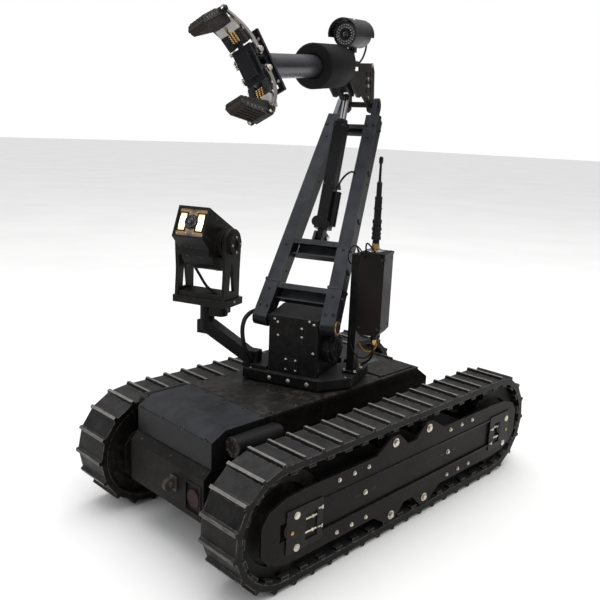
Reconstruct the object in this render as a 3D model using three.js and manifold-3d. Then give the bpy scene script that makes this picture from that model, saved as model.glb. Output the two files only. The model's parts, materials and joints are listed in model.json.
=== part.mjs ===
// Tracked inspection robot: rubber-tracked chassis, slewing turret, folding arm with gripper.
// Millimetres. +X forward, +Y to the left, +Z up, origin on the ground under the middle.
import * as THREE from 'three';
import * as BufferGeometryUtils from 'three/addons/utils/BufferGeometryUtils.js';
import Module from 'manifold-3d';

const wasm = await Module();
wasm.setup();

// Tracks
const TRACK_LENGTH = 1178;
const TRACK_HEIGHT = 306;
const TRACK_INNER_Y = 204;
const TRACK_OUTER_Y = 322;
const PITCH_COUNT = 45;
const GROUSER_HEIGHT = 8;
const BELT_THICKNESS = 17;
const LUG_DEPTH = 9;
const LUG_LENGTH = 22;
const LUG_WIDTH = 12;
// Wheels
const END_WHEEL_RADIUS = 127.2;
const ROLLER_RADIUS = 29;
const WHEEL_WIDTH = 74;
const TOOTH_COUNT = 14;
// Side plates
const SIDE_PLATE_Y = 325;
const SIDE_PLATE_THICKNESS = 6;
const INNER_PLATE_Y = 190;
const INNER_PLATE_THICKNESS = 7;
const ROLLER_X = [79, -62];
const ROLLER_OFFSET_Z = 98;
const PLATE_HALF_LENGTH = 520;
const PLATE_HALF_HEIGHT = 82;
// Hull
const HULL_HALF_WIDTH = 148;
const DECK_Z = 328;
const HULL_BOTTOM_Z = 118;
const HULL_FRONT_X = 530;
const HULL_REAR_X = -300;
const COVER_SEAM_X = 336;
const MOTOR_Z = 298;
// Turret
const TURRET_X = 70;
const TURRET_YAW = 20;
const TURRET_PLATE_BOTTOM = 337;
const TURRET_PLATE_TOP = 362;
// Arm
const SHOULDER_X = 74;
const SHOULDER_Z = 502;
const ARM_LENGTH = 682;
const ARM_LEAN = 33.5;
const LEG_FOOT_Y = 97;
const LEG_TOP_Y = 55;
const LEG_WIDTH = 40;
const LEG_DEPTH = 44;
const SHAFT_RADIUS = 12;
// Forearm
const FOREARM_X = 37;
const FOREARM_Z = 1145;
const FOREARM_PITCH = 5.4;
const DRUM_RADIUS = 55;
const DRUM_LENGTH = 170;
const TUBE_RADIUS = 27;
const WRIST_X = 262;
const GRIPPER_ROLL = 28.4;
// Fingers
const FINGER_PIVOT_X = 40;
const FINGER_PIVOT_Z = 21;
const FINGER_SPAN_X = 62;
const FINGER_SPAN_Z = 88;
const JAW_PITCH = 17;
const JAW_HALF_WIDTH = 21;
// Lamp and mast
const LAMP_X = 82;
const LAMP_Y = -268;
const LAMP_PITCH = -24;
const LAMP_AXIS_Z = 168;
const MAST_X = -22;
const MAST_Y = 130;
const MAST_TOP = 684;
const ANTENNA_Y = 166;
// Bullet camera
const CAMERA_Y = 15;

const DEG = Math.PI / 180;

function material(colour, roughness, metalness) {
  return new THREE.MeshStandardMaterial({ color: colour, roughness: roughness, metalness: metalness });
}

const PAINT = material(0x24262a, 0.45, 0.35);
const PAINT_COVER = material(0x2c2e33, 0.35, 0.4);
const RUBBER = material(0x1d1d1c, 0.85, 0);
const STEEL = material(0x8b8f93, 0.35, 0.9);
const CHROME = material(0xd6d9dc, 0.12, 1);
const ANODISED = material(0x4a4c50, 0.35, 0.8);
const BRACKET = material(0x5d5a55, 0.45, 0.7);
const PLASTIC = material(0x17181a, 0.55, 0);
const BRASS = material(0xb08a45, 0.35, 1);
const GLASS = material(0x0c0e12, 0.08, 0);

// A three.js geometry as a manifold solid, moved by an optional matrix.
function solid(geometry, matrix) {
  const plain = geometry.clone();
  if (matrix) {
    plain.applyMatrix4(matrix);
  }
  plain.deleteAttribute('normal');
  plain.deleteAttribute('uv');
  const merged = BufferGeometryUtils.mergeVertices(plain, 1e-4);
  const vertProperties = new Float32Array(merged.attributes.position.array);
  const triVerts = new Uint32Array(merged.index.array);
  return new wasm.Manifold(new wasm.Mesh({ numProp: 3, vertProperties: vertProperties, triVerts: triVerts }));
}

function place(x, y, z, rx = 0, ry = 0, rz = 0) {
  const matrix = new THREE.Matrix4();
  matrix.makeRotationFromEuler(new THREE.Euler(rx * DEG, ry * DEG, rz * DEG, 'ZYX'));
  matrix.setPosition(x, y, z);
  return matrix;
}

function box(x0, x1, y0, y1, z0, z1) {
  const geometry = new THREE.BoxGeometry(x1 - x0, y1 - y0, z1 - z0);
  return solid(geometry, place((x0 + x1) / 2, (y0 + y1) / 2, (z0 + z1) / 2));
}

function rod(axis, radius, from, to, a, b, segments = 20) {
  const geometry = new THREE.CylinderGeometry(radius, radius, to - from, segments);
  const middle = (from + to) / 2;
  if (axis === 'x') {
    return solid(geometry, place(middle, a, b, 0, 0, 90));
  }
  if (axis === 'y') {
    return solid(geometry, place(a, middle, b));
  }
  return solid(geometry, place(a, b, middle, 90, 0, 0));
}

function union(parts) {
  return parts.reduce((total, part) => total.add(part));
}

function cut(body, tools) {
  return tools.reduce((total, tool) => total.subtract(tool), body);
}

// An outline in the XZ plane, swept along Y from y0 to y1.
function slabXZ(points, y0, y1) {
  const shape = new THREE.Shape(points.map(([x, z]) => new THREE.Vector2(x, z)));
  const geometry = new THREE.ExtrudeGeometry(shape, { depth: y1 - y0, bevelEnabled: false });
  return solid(geometry, place(0, y1, 0, 90, 0, 0));
}

// An outline in the YZ plane, swept along X from x0 to x1.
function slabYZ(points, x0, x1) {
  const shape = new THREE.Shape(points.map(([y, z]) => new THREE.Vector2(y, z)));
  const geometry = new THREE.ExtrudeGeometry(shape, { depth: x1 - x0, bevelEnabled: false });
  const matrix = new THREE.Matrix4();
  matrix.set(0, 0, 1, x0, 1, 0, 0, 0, 0, 1, 0, 0, 0, 0, 0, 1);
  return solid(geometry, matrix);
}

// An outline in the XY plane, swept along Z from z0 to z1.
function slabXY(points, z0, z1) {
  const shape = new THREE.Shape(points.map(([x, y]) => new THREE.Vector2(x, y)));
  const geometry = new THREE.ExtrudeGeometry(shape, { depth: z1 - z0, bevelEnabled: false });
  return solid(geometry, place(0, 0, z0));
}

function arc(cx, cy, radius, from, to, steps) {
  const points = [];
  for (let i = 0; i <= steps; i += 1) {
    const angle = (from + (to - from) * i / steps) * DEG;
    points.push([cx + radius * Math.cos(angle), cy + radius * Math.sin(angle)]);
  }
  return points;
}

function add(parent, name, body, look) {
  const data = body.getMesh();
  const geometry = new THREE.BufferGeometry();
  const positions = new Float32Array(data.numVert * 3);
  for (let i = 0; i < data.numVert; i += 1) {
    for (let k = 0; k < 3; k += 1) {
      positions[i * 3 + k] = data.vertProperties[i * data.numProp + k];
    }
  }
  geometry.setAttribute('position', new THREE.BufferAttribute(positions, 3));
  geometry.setIndex(new THREE.BufferAttribute(new Uint32Array(data.triVerts), 1));
  const mesh = new THREE.Mesh(geometry, look);
  mesh.name = name;
  parent.add(mesh);
  return mesh;
}

function group(parent, x, y, z, rx = 0, ry = 0, rz = 0) {
  const child = new THREE.Group();
  child.position.set(x, y, z);
  child.rotation.set(rx * DEG, ry * DEG, rz * DEG);
  parent.add(child);
  return child;
}

const robot = new THREE.Group();

// ---------------------------------------------------------------- tracks
const END_RADIUS = TRACK_HEIGHT / 2;
const END_X = TRACK_LENGTH / 2 - END_RADIUS;
const AXLE_Z = END_RADIUS;
const PAD_RADIUS = END_RADIUS - GROUSER_HEIGHT;
const BELT_INNER_RADIUS = PAD_RADIUS - BELT_THICKNESS;
const RUN = 2 * END_X;
const BELT_LENGTH = 2 * RUN + 2 * Math.PI * PAD_RADIUS;
const PITCH = BELT_LENGTH / PITCH_COUNT;

// A point of the loop, s along the pad line and r out from the axle line.
function loopPoint(s, r) {
  const arcLength = Math.PI * PAD_RADIUS;
  const t = ((s % BELT_LENGTH) + BELT_LENGTH) % BELT_LENGTH;
  if (t < RUN) {
    return [END_X - t, AXLE_Z + r];
  }
  if (t < RUN + arcLength) {
    const angle = Math.PI / 2 + (t - RUN) / PAD_RADIUS;
    return [-END_X + r * Math.cos(angle), AXLE_Z + r * Math.sin(angle)];
  }
  if (t < 2 * RUN + arcLength) {
    return [-END_X + (t - RUN - arcLength), AXLE_Z - r];
  }
  const angle = -Math.PI / 2 + (t - 2 * RUN - arcLength) / PAD_RADIUS;
  return [END_X + r * Math.cos(angle), AXLE_Z + r * Math.sin(angle)];
}

function stadium(radius, steps) {
  const front = arc(END_X, AXLE_Z, radius, -90, 90, steps);
  const rear = arc(-END_X, AXLE_Z, radius, 90, 270, steps);
  return front.concat(rear);
}

function makeBelt(phase) {
  const outline = [];
  for (let i = 0; i < PITCH_COUNT; i += 1) {
    const s = phase + i * PITCH;
    outline.push(loopPoint(s - 6.5, PAD_RADIUS));
    outline.push(loopPoint(s - 3.5, END_RADIUS));
    outline.push(loopPoint(s + 3.5, END_RADIUS));
    outline.push(loopPoint(s + 6.5, PAD_RADIUS));
  }
  const hole = slabXZ(stadium(BELT_INNER_RADIUS, 22), TRACK_INNER_Y - 5, TRACK_OUTER_Y + 5);
  const band = slabXZ(outline, TRACK_INNER_Y, TRACK_OUTER_Y).subtract(hole);
  const lugs = [];
  for (let i = 0; i < PITCH_COUNT; i += 1) {
    const s = phase + (i + 0.5) * PITCH;
    const base = loopPoint(s, BELT_INNER_RADIUS - LUG_DEPTH / 2 + 1);
    const tip = loopPoint(s, BELT_INNER_RADIUS - LUG_DEPTH);
    const tilt = Math.atan2(base[1] - tip[1], base[0] - tip[0]) / DEG - 90;
    const shape = new THREE.BoxGeometry(LUG_LENGTH, LUG_WIDTH, LUG_DEPTH + 2);
    lugs.push(solid(shape, place(base[0], TRACK_OUTER_Y - LUG_WIDTH / 2 - 2, base[1], 0, -tilt, 0)));
  }
  return union([band].concat(lugs));
}

function makeSprocket() {
  const profile = [];
  const step = 360 / TOOTH_COUNT;
  for (let i = 0; i < TOOTH_COUNT; i += 1) {
    profile.push(...arc(0, 0, END_WHEEL_RADIUS - 10, i * step, i * step + step * 0.42, 1));
    profile.push(...arc(0, 0, END_WHEEL_RADIUS, i * step + step * 0.55, i * step + step * 0.87, 1));
  }
  const rim = slabXZ(profile, 227, 227 + 20);
  const second = slabXZ(profile, 281, 281 + 20);
  const drum = rod('y', END_WHEEL_RADIUS - 16, 227, 301, 0, 0, 28);
  const dishes = [rod('y', 82, 222, 236, 0, 0, 28), rod('y', 82, 292, 306, 0, 0, 28)];
  const wheel = cut(union([drum, rim, second]), dishes);
  const hub = rod('y', 38, 224, 304, 0, 0, 24);
  return cut(wheel.add(hub), [rod('y', 20.5, 200, 330, 0, 0, 20)]);
}

function makeIdler() {
  const drum = rod('y', END_WHEEL_RADIUS, 227, 301, 0, 0, 32);
  const grooveCore = rod('y', END_WHEEL_RADIUS - 9, 250, 278, 0, 0, 32);
  const groove = cut(rod('y', END_WHEEL_RADIUS + 5, 254, 274, 0, 0, 24), [grooveCore]);
  const dishes = [rod('y', 96, 222, 236, 0, 0, 24), rod('y', 96, 292, 306, 0, 0, 24)];
  const hub = rod('y', 36, 224, 304, 0, 0, 24);
  return cut(cut(drum, dishes).subtract(groove).add(hub), [rod('y', 20.5, 200, 330, 0, 0, 20)]);
}

function makeRoller() {
  const shell = union([
    rod('y', ROLLER_RADIUS, 228, 254, 0, 0, 18),
    rod('y', ROLLER_RADIUS, 274, 300, 0, 0, 18),
    rod('y', ROLLER_RADIUS - 8, 250, 278, 0, 0, 12),
  ]);
  return shell.add(rod('y', 8, 186, 330.4, 0, 0, 10));
}

// Long plate with lobes for the rollers, chamfered ends and axle slots.
function sidePlate(y0, y1, bore) {
  const h = PLATE_HALF_HEIGHT;
  const l = PLATE_HALF_LENGTH;
  const outline = [
    [l, -34], [l, 34], [l - 22, 62], [l - 70, h - 4], [l - 120, h],
    [ROLLER_X[0] + 70, h], [ROLLER_X[0] + 34, h + 22],
    [ROLLER_X[0] + 12, h + 34], [ROLLER_X[0] - 12, h + 34],
    [ROLLER_X[0] - 32, h + 18], [ROLLER_X[0] - 52, h - 2],
    [ROLLER_X[1] + 52, h - 2], [ROLLER_X[1] + 32, h + 18],
    [ROLLER_X[1] + 12, h + 34], [ROLLER_X[1] - 12, h + 34], [ROLLER_X[1] - 34, h + 22], [ROLLER_X[1] - 70, h],
    [-l + 120, h], [-l + 70, h - 4], [-l + 22, 62], [-l, 34], [-l, -34],
    [-l + 22, -62], [-l + 70, -h + 4], [-l + 120, -h],
    [ROLLER_X[1] - 70, -h], [ROLLER_X[1] - 34, -h - 22],
    [ROLLER_X[1] - 12, -h - 34], [ROLLER_X[1] + 12, -h - 34],
    [ROLLER_X[1] + 32, -h - 18], [ROLLER_X[1] + 52, -h + 2],
    [ROLLER_X[0] - 52, -h + 2], [ROLLER_X[0] - 32, -h - 18],
    [ROLLER_X[0] - 12, -h - 34], [ROLLER_X[0] + 12, -h - 34],
    [ROLLER_X[0] + 34, -h - 22], [ROLLER_X[0] + 70, -h],
    [l - 120, -h], [l - 70, -h + 4], [l - 22, -62],
  ].reverse();
  const holes = [];
  for (const x of ROLLER_X) {
    for (const side of [-1, 1]) {
      holes.push(rod('y', bore, y0 - 5, y1 + 5, x, side * ROLLER_OFFSET_Z, 14));
    }
  }
  return cut(slabXZ(outline, y0, y1), holes);
}

function makeSide(side) {
  const label = side > 0 ? 'left' : 'right';
  const half = group(robot, 0, 0, 0);
  const put = (name, body, look, x = 0, z = 0) => {
    const placed = side > 0 ? body : body.mirror([0, 1, 0]);
    const mesh = add(half, `${name}_${label}`, placed, look);
    mesh.position.set(x, 0, z);
  };
  put('track_belt', makeBelt(side > 0 ? -14 : 7), RUBBER);
  put('sprocket', makeSprocket(), PAINT, -END_X, AXLE_Z);
  put('idler', makeIdler(), PAINT, END_X, AXLE_Z);
  ROLLER_X.forEach((x, index) => {
    put(`roller_top_${index + 1}`, makeRoller(), PAINT, x, AXLE_Z + ROLLER_OFFSET_Z);
    put(`roller_low_${index + 1}`, makeRoller(), PAINT, x, AXLE_Z - ROLLER_OFFSET_Z);
  });

  // Inner plate, cross beam between the plates and two ties to the hull.
  const inner = sidePlate(INNER_PLATE_Y, INNER_PLATE_Y + INNER_PLATE_THICKNESS, 8.5);
  const beam = cut(box(-290, 290, 195, SIDE_PLATE_Y - 0.3, -46, 46), [
    box(-284, 284, 203, SIDE_PLATE_Y + 5, -38, 38),
  ]);
  const ribs = [-164, 184].map((x) => box(x - 5, x + 5, 200, SIDE_PLATE_Y - 0.3, -40, 40));
  const ties = [-200, 200].map((x) => box(x - 40, x + 40, HULL_HALF_WIDTH + 0.3, 195, -40, 40));
  const axleHoles = [END_X, -END_X].map((x) => box(x - 30, x + 30, 180, 203, -21, 21));
  const frame = cut(union([inner, beam].concat(ribs, ties)), axleHoles);
  put('track_frame', frame, PAINT, 0, AXLE_Z);

  // Outer plate with its pressed channel and the end slots.
  const y0 = SIDE_PLATE_Y;
  const y1 = SIDE_PLATE_Y + SIDE_PLATE_THICKNESS;
  const outer = sidePlate(y0, y1, 8.5);
  const recess = box(-400, 350, y1 - 3, y1 + 5, -44, 40);
  const slots = [END_X, -END_X].map((x) => box(x - 30, x + 30, y0 - 5, y1 + 5, -21, 21));
  put('side_plate', cut(outer, [recess].concat(slots)), PAINT, 0, AXLE_Z);

  // Axle carriers that slide in the slots to tension the belt, each with an adjuster window.
  const carriers = [
    { name: 'idler_axle', direction: 1, inner: -98, outer: 14, windowFrom: -81, windowTo: -44 },
    { name: 'sprocket_axle', direction: -1, inner: -64, outer: 42, windowFrom: -40, windowTo: -8 },
  ];
  for (const carrier of carriers) {
    const reach = (a, b) => [a * carrier.direction, b * carrier.direction].sort((m, n) => m - n);
    const [lo, hi] = reach(carrier.inner, carrier.outer);
    const [windowLo, windowHi] = reach(carrier.windowFrom, carrier.windowTo);
    const face = box(lo, hi, y1 + 0.3, y1 + 6, -57, 45);
    const window = box(windowLo, windowHi, y1 - 1, y1 + 9, -42, 20);
    const pin = rod('y', 20, INNER_PLATE_Y - 2, y1 + 2, 0, 0, 18);
    put(carrier.name, cut(face, [window]).add(pin), PAINT_COVER, END_X * carrier.direction, AXLE_Z);
  }
}

makeSide(1);
makeSide(-1);

// ---------------------------------------------------------------- hull
function hullOutline(offset) {
  const top = DECK_Z - 3 - offset;
  return [
    [HULL_REAR_X + offset, HULL_BOTTOM_Z + 20 + offset],
    [HULL_REAR_X + 26 + offset, HULL_BOTTOM_Z + offset],
    [HULL_FRONT_X - offset, HULL_BOTTOM_Z + offset],
    [HULL_FRONT_X - offset, 225 - offset],
    [HULL_FRONT_X - 19 - offset, 243 - offset],
    [COVER_SEAM_X + 10, 243 - offset],
    [COVER_SEAM_X + 10, top],
    [-252, top],
    [HULL_REAR_X + offset, 292 - offset],
  ];
}

const wallHole = box(-36, COVER_SEAM_X - 40, -100, 100, 300, 340);
const hatchHole = box(-222, -96, -120, 120, 300, 340);
const coverHole = box(COVER_SEAM_X + 30, 490, -120, 120, 230, 260);
const tubShell = slabXZ(hullOutline(0), -HULL_HALF_WIDTH, HULL_HALF_WIDTH);
const tubRoom = slabXZ(hullOutline(5), -HULL_HALF_WIDTH + 5, HULL_HALF_WIDTH - 5);
const panelRecess = box(HULL_FRONT_X - 3, HULL_FRONT_X + 3, 82, 138, 132, 204);
const bulkheads = [
  box(COVER_SEAM_X - 18, COVER_SEAM_X - 12, -144, 144, 120, 322),
  box(-64, -58, -144, 144, 120, 322),
];
const tub = union([cut(tubShell, [tubRoom])].concat(bulkheads));
const bulkheadHoles = [
  box(COVER_SEAM_X - 30, COVER_SEAM_X, -90, 90, 150, 220),
  box(-80, -40, -90, 90, 150, 280),
];
const tubHoles = [wallHole, hatchHole, coverHole, panelRecess].concat(bulkheadHoles);
add(robot, 'hull_tub', cut(tub, tubHoles), PAINT);

const coverOutline = (offset) => [
  [COVER_SEAM_X + 12 + offset, 243.3 - offset * 3],
  [509 - offset, 243.3 - offset * 3],
  [509 - offset, 309 - offset * 0.5],
  [469 - offset * 0.5, DECK_Z + 2 - offset],
  [COVER_SEAM_X + 12 + offset, DECK_Z + 2 - offset],
];
const coverShell = slabXZ(coverOutline(0), -HULL_HALF_WIDTH, HULL_HALF_WIDTH);
const coverRoom = slabXZ(coverOutline(4), -HULL_HALF_WIDTH + 4, HULL_HALF_WIDTH - 4);
add(robot, 'front_cover', coverShell.subtract(coverRoom), PAINT_COVER);

// Deck sheet around the turret hole and the rear hatch.
const deckSheet = box(-254, COVER_SEAM_X + 11, -HULL_HALF_WIDTH, HULL_HALF_WIDTH, DECK_Z - 2.7, DECK_Z + 2);
const ringSeat = rod('z', 96, DECK_Z - 10, DECK_Z + 10, TURRET_X, 0, 36);
add(robot, 'deck_plate', cut(deckSheet, [ringSeat, hatchHole]), PAINT_COVER);

// Rear hatch, hinged at its rear edge, with a rim that drops into the opening.
const hatch = group(robot, -242, 0, DECK_Z + 2.3);
const lid = union([
  box(6, 150, -138, 138, 0, 3.5),
  box(24, 142, -116, 116, -10, 0.5),
]);
const lidRoom = box(28, 138, -112, 112, -12, -1.5);
const hatchBarrel = rod('y', 4, -60, 60, 0, 5, 12);
const hatchTongue = box(0, 10, -60, 60, 1.5, 3.5);
add(hatch, 'rear_hatch', union([cut(lid, [lidRoom]), hatchBarrel, hatchTongue]), PAINT_COVER);

// Towing eye on the front plate.
const eyeRing = cut(rod('y', 15, -5, 5, 3, 0, 18), [rod('y', 7, -8, 8, 3, 0, 14)]);
const eyePlate = box(-13, -9, -12, 12, -18, 18);
const eye = add(robot, 'tow_eye', union([eyeRing, eyePlate, box(-12, -7, -5, 5, -13, 13)]), STEEL);
eye.position.set(HULL_FRONT_X + 13.3, 38, 180);

// Track drive motors between the hull side and the tracks.
for (const side of [1, -1]) {
  const can = union([
    rod('x', 25, -54, 74, 0, 0, 24),
    rod('x', 20, -66, -50, 0, 0, 20),
    rod('x', 9, -72, -60, 0, 0, 12),
    box(-60, 40, side > 0 ? -26.7 : 10, side > 0 ? -10 : 26.7, -14, 14),
  ]);
  const motor = add(robot, side > 0 ? 'drive_motor_left' : 'drive_motor_right', can, PLASTIC);
  motor.position.set(396, side * (HULL_HALF_WIDTH + 27), MOTOR_Z);
}

// ---------------------------------------------------------------- turret
const turret = group(robot, TURRET_X, 0, 0, 0, 0, TURRET_YAW);

const slewBore = rod('z', 70, 300, TURRET_PLATE_TOP - 6, 0, 0, 24);
const slewRing = cut(rod('z', 94, DECK_Z - 6, TURRET_PLATE_TOP - 4, 0, 0, 32), [slewBore]);
const turretOutline = [
  [108, -136], [108, 84], [34, 148], [-96, 148], [-118, 128],
  [-118, -128], [-96, -150], [80, -150],
];
const plateBody = slabXY(turretOutline, TURRET_PLATE_BOTTOM, TURRET_PLATE_TOP);
const roomOutline = turretOutline.map(([x, y]) => [x * 0.93, y * 0.95]);
const plateRoom = slabXY(roomOutline, TURRET_PLATE_BOTTOM - 1, TURRET_PLATE_TOP - 6);
const cableHole = rod('z', 26, 300, 400, -92, 60, 16);
add(turret, 'turret_plate', cut(union([cut(plateBody, [plateRoom]), slewRing]), [cableHole]), PAINT);

// Housing with a sloping lid, carrying the shoulder shaft.
const housingOutline = (o) => [
  [-58 + o, TURRET_PLATE_TOP + 0.3 - o * 3],
  [88 - o, TURRET_PLATE_TOP + 0.3 - o * 3],
  [88 - o, 516 - o],
  [8, 531 - o],
  [-58 + o, 531 - o],
];
const housingShell = slabXZ(housingOutline(0), -70, 70);
const roomFloor = TURRET_PLATE_TOP - 5;
const housingRoom = slabXZ([
  [-53, roomFloor], [83, roomFloor], [83, 484], [44, 484], [10, 525], [-53, 525],
], -65, 65);
const shaft = rod('y', SHAFT_RADIUS, -122, 122, SHOULDER_X, SHOULDER_Z, 20);
add(turret, 'turret_housing', union([cut(housingShell, [housingRoom]), shaft]), PAINT);

// Shoulder gear motor on the left of the housing.
const gearMotor = union([
  rod('y', 43, 70.3, 92, 26, 436, 30),
  rod('y', 36, 90, 104, 26, 436, 28),
  rod('y', 12, 102, 110, 26, 436, 14),
]);
add(turret, 'shoulder_motor', gearMotor, PLASTIC);

// Mast and radio box.
const mastBody = union([
  box(MAST_X - 28, MAST_X + 26, MAST_Y - 20, MAST_Y + 18, TURRET_PLATE_TOP + 0.3, TURRET_PLATE_TOP + 7),
  box(MAST_X - 17, MAST_X + 15, MAST_Y - 14, MAST_Y + 8, TURRET_PLATE_TOP + 2, MAST_TOP),
]);
const mastGroove = box(MAST_X - 20, MAST_X + 9, MAST_Y - 8, MAST_Y + 3, TURRET_PLATE_TOP + 30, MAST_TOP - 30);
add(turret, 'mast', cut(mastBody, [mastGroove]), PAINT);

// Radio box hung on the side of the mast.
const BOX_Y0 = MAST_Y + 8.3;
const BOX_Y1 = BOX_Y0 + 67;
const radioOutline = [
  [BOX_Y0, 690], [BOX_Y0, 484], [BOX_Y0 + 8, 472], [BOX_Y1 - 10, 472], [BOX_Y1, 486], [BOX_Y1, 690],
];
const radioBody = slabYZ(radioOutline, -78, -6);
const radioLid = box(-79.5, -4.5, BOX_Y0, BOX_Y1 + 1.5, 685, 692);
const antennaFoot = union([
  rod('z', 20, 690, 695, -44, ANTENNA_Y, 24),
  rod('z', 8, 693, 706, -44, ANTENNA_Y, 14),
]);
const glands = union([-30, -56].map((x) => rod('z', 9, 458, 474, x, BOX_Y1 - 24, 12)));
add(turret, 'radio_box', union([radioBody, radioLid, antennaFoot, glands]), PAINT);

const antennaProfile = [
  [0, 706.3], [9, 706.3], [9, 722], [11, 724], [11, 772], [9.5, 776], [9.5, 830],
  [7, 834], [7, 868], [3.6, 872], [3.2, 915], [5.5, 919], [5.5, 930], [3, 934], [0, 934],
].map(([r, z]) => new THREE.Vector2(r, z));
const antennaSolid = solid(new THREE.LatheGeometry(antennaProfile, 14), place(-44, ANTENNA_Y, 0, 90, 0, 0));
add(turret, 'antenna', antennaSolid, PLASTIC);

// ---------------------------------------------------------------- lamp head
const rootBlock = union([
  box(LAMP_X - 34, LAMP_X + 12, -146, -74, TURRET_PLATE_TOP + 0.3, TURRET_PLATE_TOP + 10),
  box(LAMP_X - 26, LAMP_X + 6, -140, -106, TURRET_PLATE_TOP + 4, TURRET_PLATE_TOP + 44),
]);
const armSlope = slabYZ([
  [-124, 367], [-124, 404], [-252, 471], [-291, 471], [-291, 434], [-260, 434],
], LAMP_X - 20, LAMP_X + 14);
const lampPost = rod('z', 20, 447, 519.7, LAMP_X - 3, LAMP_Y, 22);
add(turret, 'lamp_arm', union([rootBlock, armSlope, lampPost]), PAINT);

const pan = group(turret, LAMP_X - 3, LAMP_Y, 520);
const canOutline = arc(8, 54, 14, 0, 180, 8).concat([[-24, 54], [-24, 24], [22, 24]]);
const panPlate = union([
  box(-44, 44, -85, 85, 0, 19),
  box(-34, 40, -68, 68, 18, 32),
  slabXY(canOutline.map(([x, y]) => [x * 1.4, y]), -28, 2),
]);
// Each cheek stands on two legs that meet under its bearing.
const cheeks = [-1, 1].map((side) => {
  const outline = [[-34, 10], [44, 10], [38, 90]].concat(arc(0, LAMP_AXIS_Z, 42, 0, 180, 12), [[-36, 90]]);
  const window = [[-9, 38], [19, 38], [10, 116], [2, 116]];
  const plate = slabXZ(outline, side * 74 - 5, side * 74 + 5);
  return cut(plate, [slabXZ(window, side * 74 - 9, side * 74 + 9)]);
});
const cheekHoles = [rod('y', 12.5, -100, 100, 0, LAMP_AXIS_Z, 16)];
const cheekBosses = [-1, 1].map((side) => {
  return cut(rod('y', 28, side > 0 ? 78 : -88, side > 0 ? 88 : -78, 0, LAMP_AXIS_Z, 22), cheekHoles);
});
const yokeBody = cut(union([panPlate].concat(cheeks)), cheekHoles);
add(pan, 'pan_yoke', union([yokeBody].concat(cheekBosses)), PAINT);

const tilt = group(pan, 0, 0, LAMP_AXIS_Z, 0, LAMP_PITCH, 0);
const headOutline = [
  [103, -21], [103, 64], [-76, 52], [-84, 40], [-84, -8],
].concat(arc(-6, -16, 58, 205, 325, 10), [[54, -56], [64, -36]]);
const headBody = slabXZ(headOutline.reverse(), -47, 47);
const faceRecess = slabXZ([[97, -16], [112, -16], [112, 58], [97, 58]], -43, 43);
const headRoom = slabXZ([
  [90, -18], [90, 58], [-72, 47], [-79, 38], [-79, -8], [-46, -50], [24, -50], [50, -46],
].reverse(), -42, 42);
const cableEntry = rod('z', 8, -100, -40, -20, 0, 12);
const hubs = [-1, 1].map((side) => rod('y', 40, side > 0 ? 44 : -64, side > 0 ? 64 : -44, 0, 0, 28));
const trunnions = rod('y', 12, -84, 84, 0, 0, 16);
const headShell = cut(union([headBody].concat(hubs)), [faceRecess, headRoom, cableEntry]);
add(tilt, 'lamp_head', union([headShell, trunnions]), PAINT);
const lensBarrel = rod('x', 17, 97.3, 105, 0, 22, 24);
add(tilt, 'lamp_camera', lensBarrel, GLASS);

// ---------------------------------------------------------------- arm
// Local Z runs up the arm from the shoulder, local X points to its front face.
const arm = group(turret, SHOULDER_X, 0, SHOULDER_Z, 0, -ARM_LEAN, 0);
const TOE_IN = Math.atan2(LEG_FOOT_Y - LEG_TOP_Y, ARM_LENGTH) / DEG;
const LEG_TUBE_END = 636;

function makeLeg() {
  const w = LEG_WIDTH / 2;
  const d = LEG_DEPTH / 2;
  const foot = slabXZ(arc(0, 0, d, 180, 360, 12).concat([[d, 104], [-d, 104]]), -w, w);
  const footRoom = slabXZ([[-d - 1, 24], [d - 5, 24], [d - 5, 90], [-d - 1, 90]], -w + 5, w - 5);
  const collar = box(-d - 1.5, d + 1.5, -w - 1.5, w + 1.5, 99, 106);
  const tube = cut(box(-d + 2, d - 2, -w + 1, w - 1, 103, LEG_TUBE_END), [
    box(-d + 6, d - 6, -w + 5, w - 5, 110, LEG_TUBE_END - 4),
  ]);
  const tipRound = arc(0, ARM_LENGTH, 20, 0, 180, 10);
  const tipOutline = [[-19, LEG_TUBE_END - 2], [19, LEG_TUBE_END - 2]].concat(tipRound);
  const tip = slabXZ(tipOutline, -6, 6);
  const drains = [rod('y', 4, 0, 40, 0, 140, 8), rod('y', 4, 0, 40, 0, 420, 8)];
  return cut(union([cut(foot, [footRoom]), collar, tube, tip]), drains);
}

for (const side of [1, -1]) {
  const lean = place(0, side * LEG_FOOT_Y, 0, side * TOE_IN, 0, 0);
  const holes = [
    rod('y', SHAFT_RADIUS + 0.5, side * LEG_FOOT_Y - 40, side * LEG_FOOT_Y + 40, 0, 0, 20),
    rod('y', 8.5, -90, 90, 0, ARM_LENGTH, 16),
  ];
  const leg = cut(makeLeg().transform(lean.elements), holes);
  add(arm, side > 0 ? 'arm_leg_left' : 'arm_leg_right', leg, PAINT);
}

// Inner half-gap between the legs at a height s up the arm.
function legGap(s) {
  return LEG_FOOT_Y - (LEG_FOOT_Y - LEG_TOP_Y) * s / ARM_LENGTH - LEG_WIDTH / 2 - 0.3;
}

// An open channel: its lower front edge is set back by the lip.
function crossbar(s0, s1, x0, x1, wall, lip) {
  const g0 = legGap(s0);
  const g1 = legGap(s1);
  const outline = [[-g0, s0], [g0, s0], [g1, s1], [-g1, s1]];
  const bar = slabYZ(outline, x0, x1);
  const room = box(x0 + wall, x1 - wall, -200, 200, s0 + wall, s1 - wall);
  return cut(bar, [room, box(x1 - lip, x1 + 1, -200, 200, s0 - 1, s1 - 15)]);
}

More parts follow.
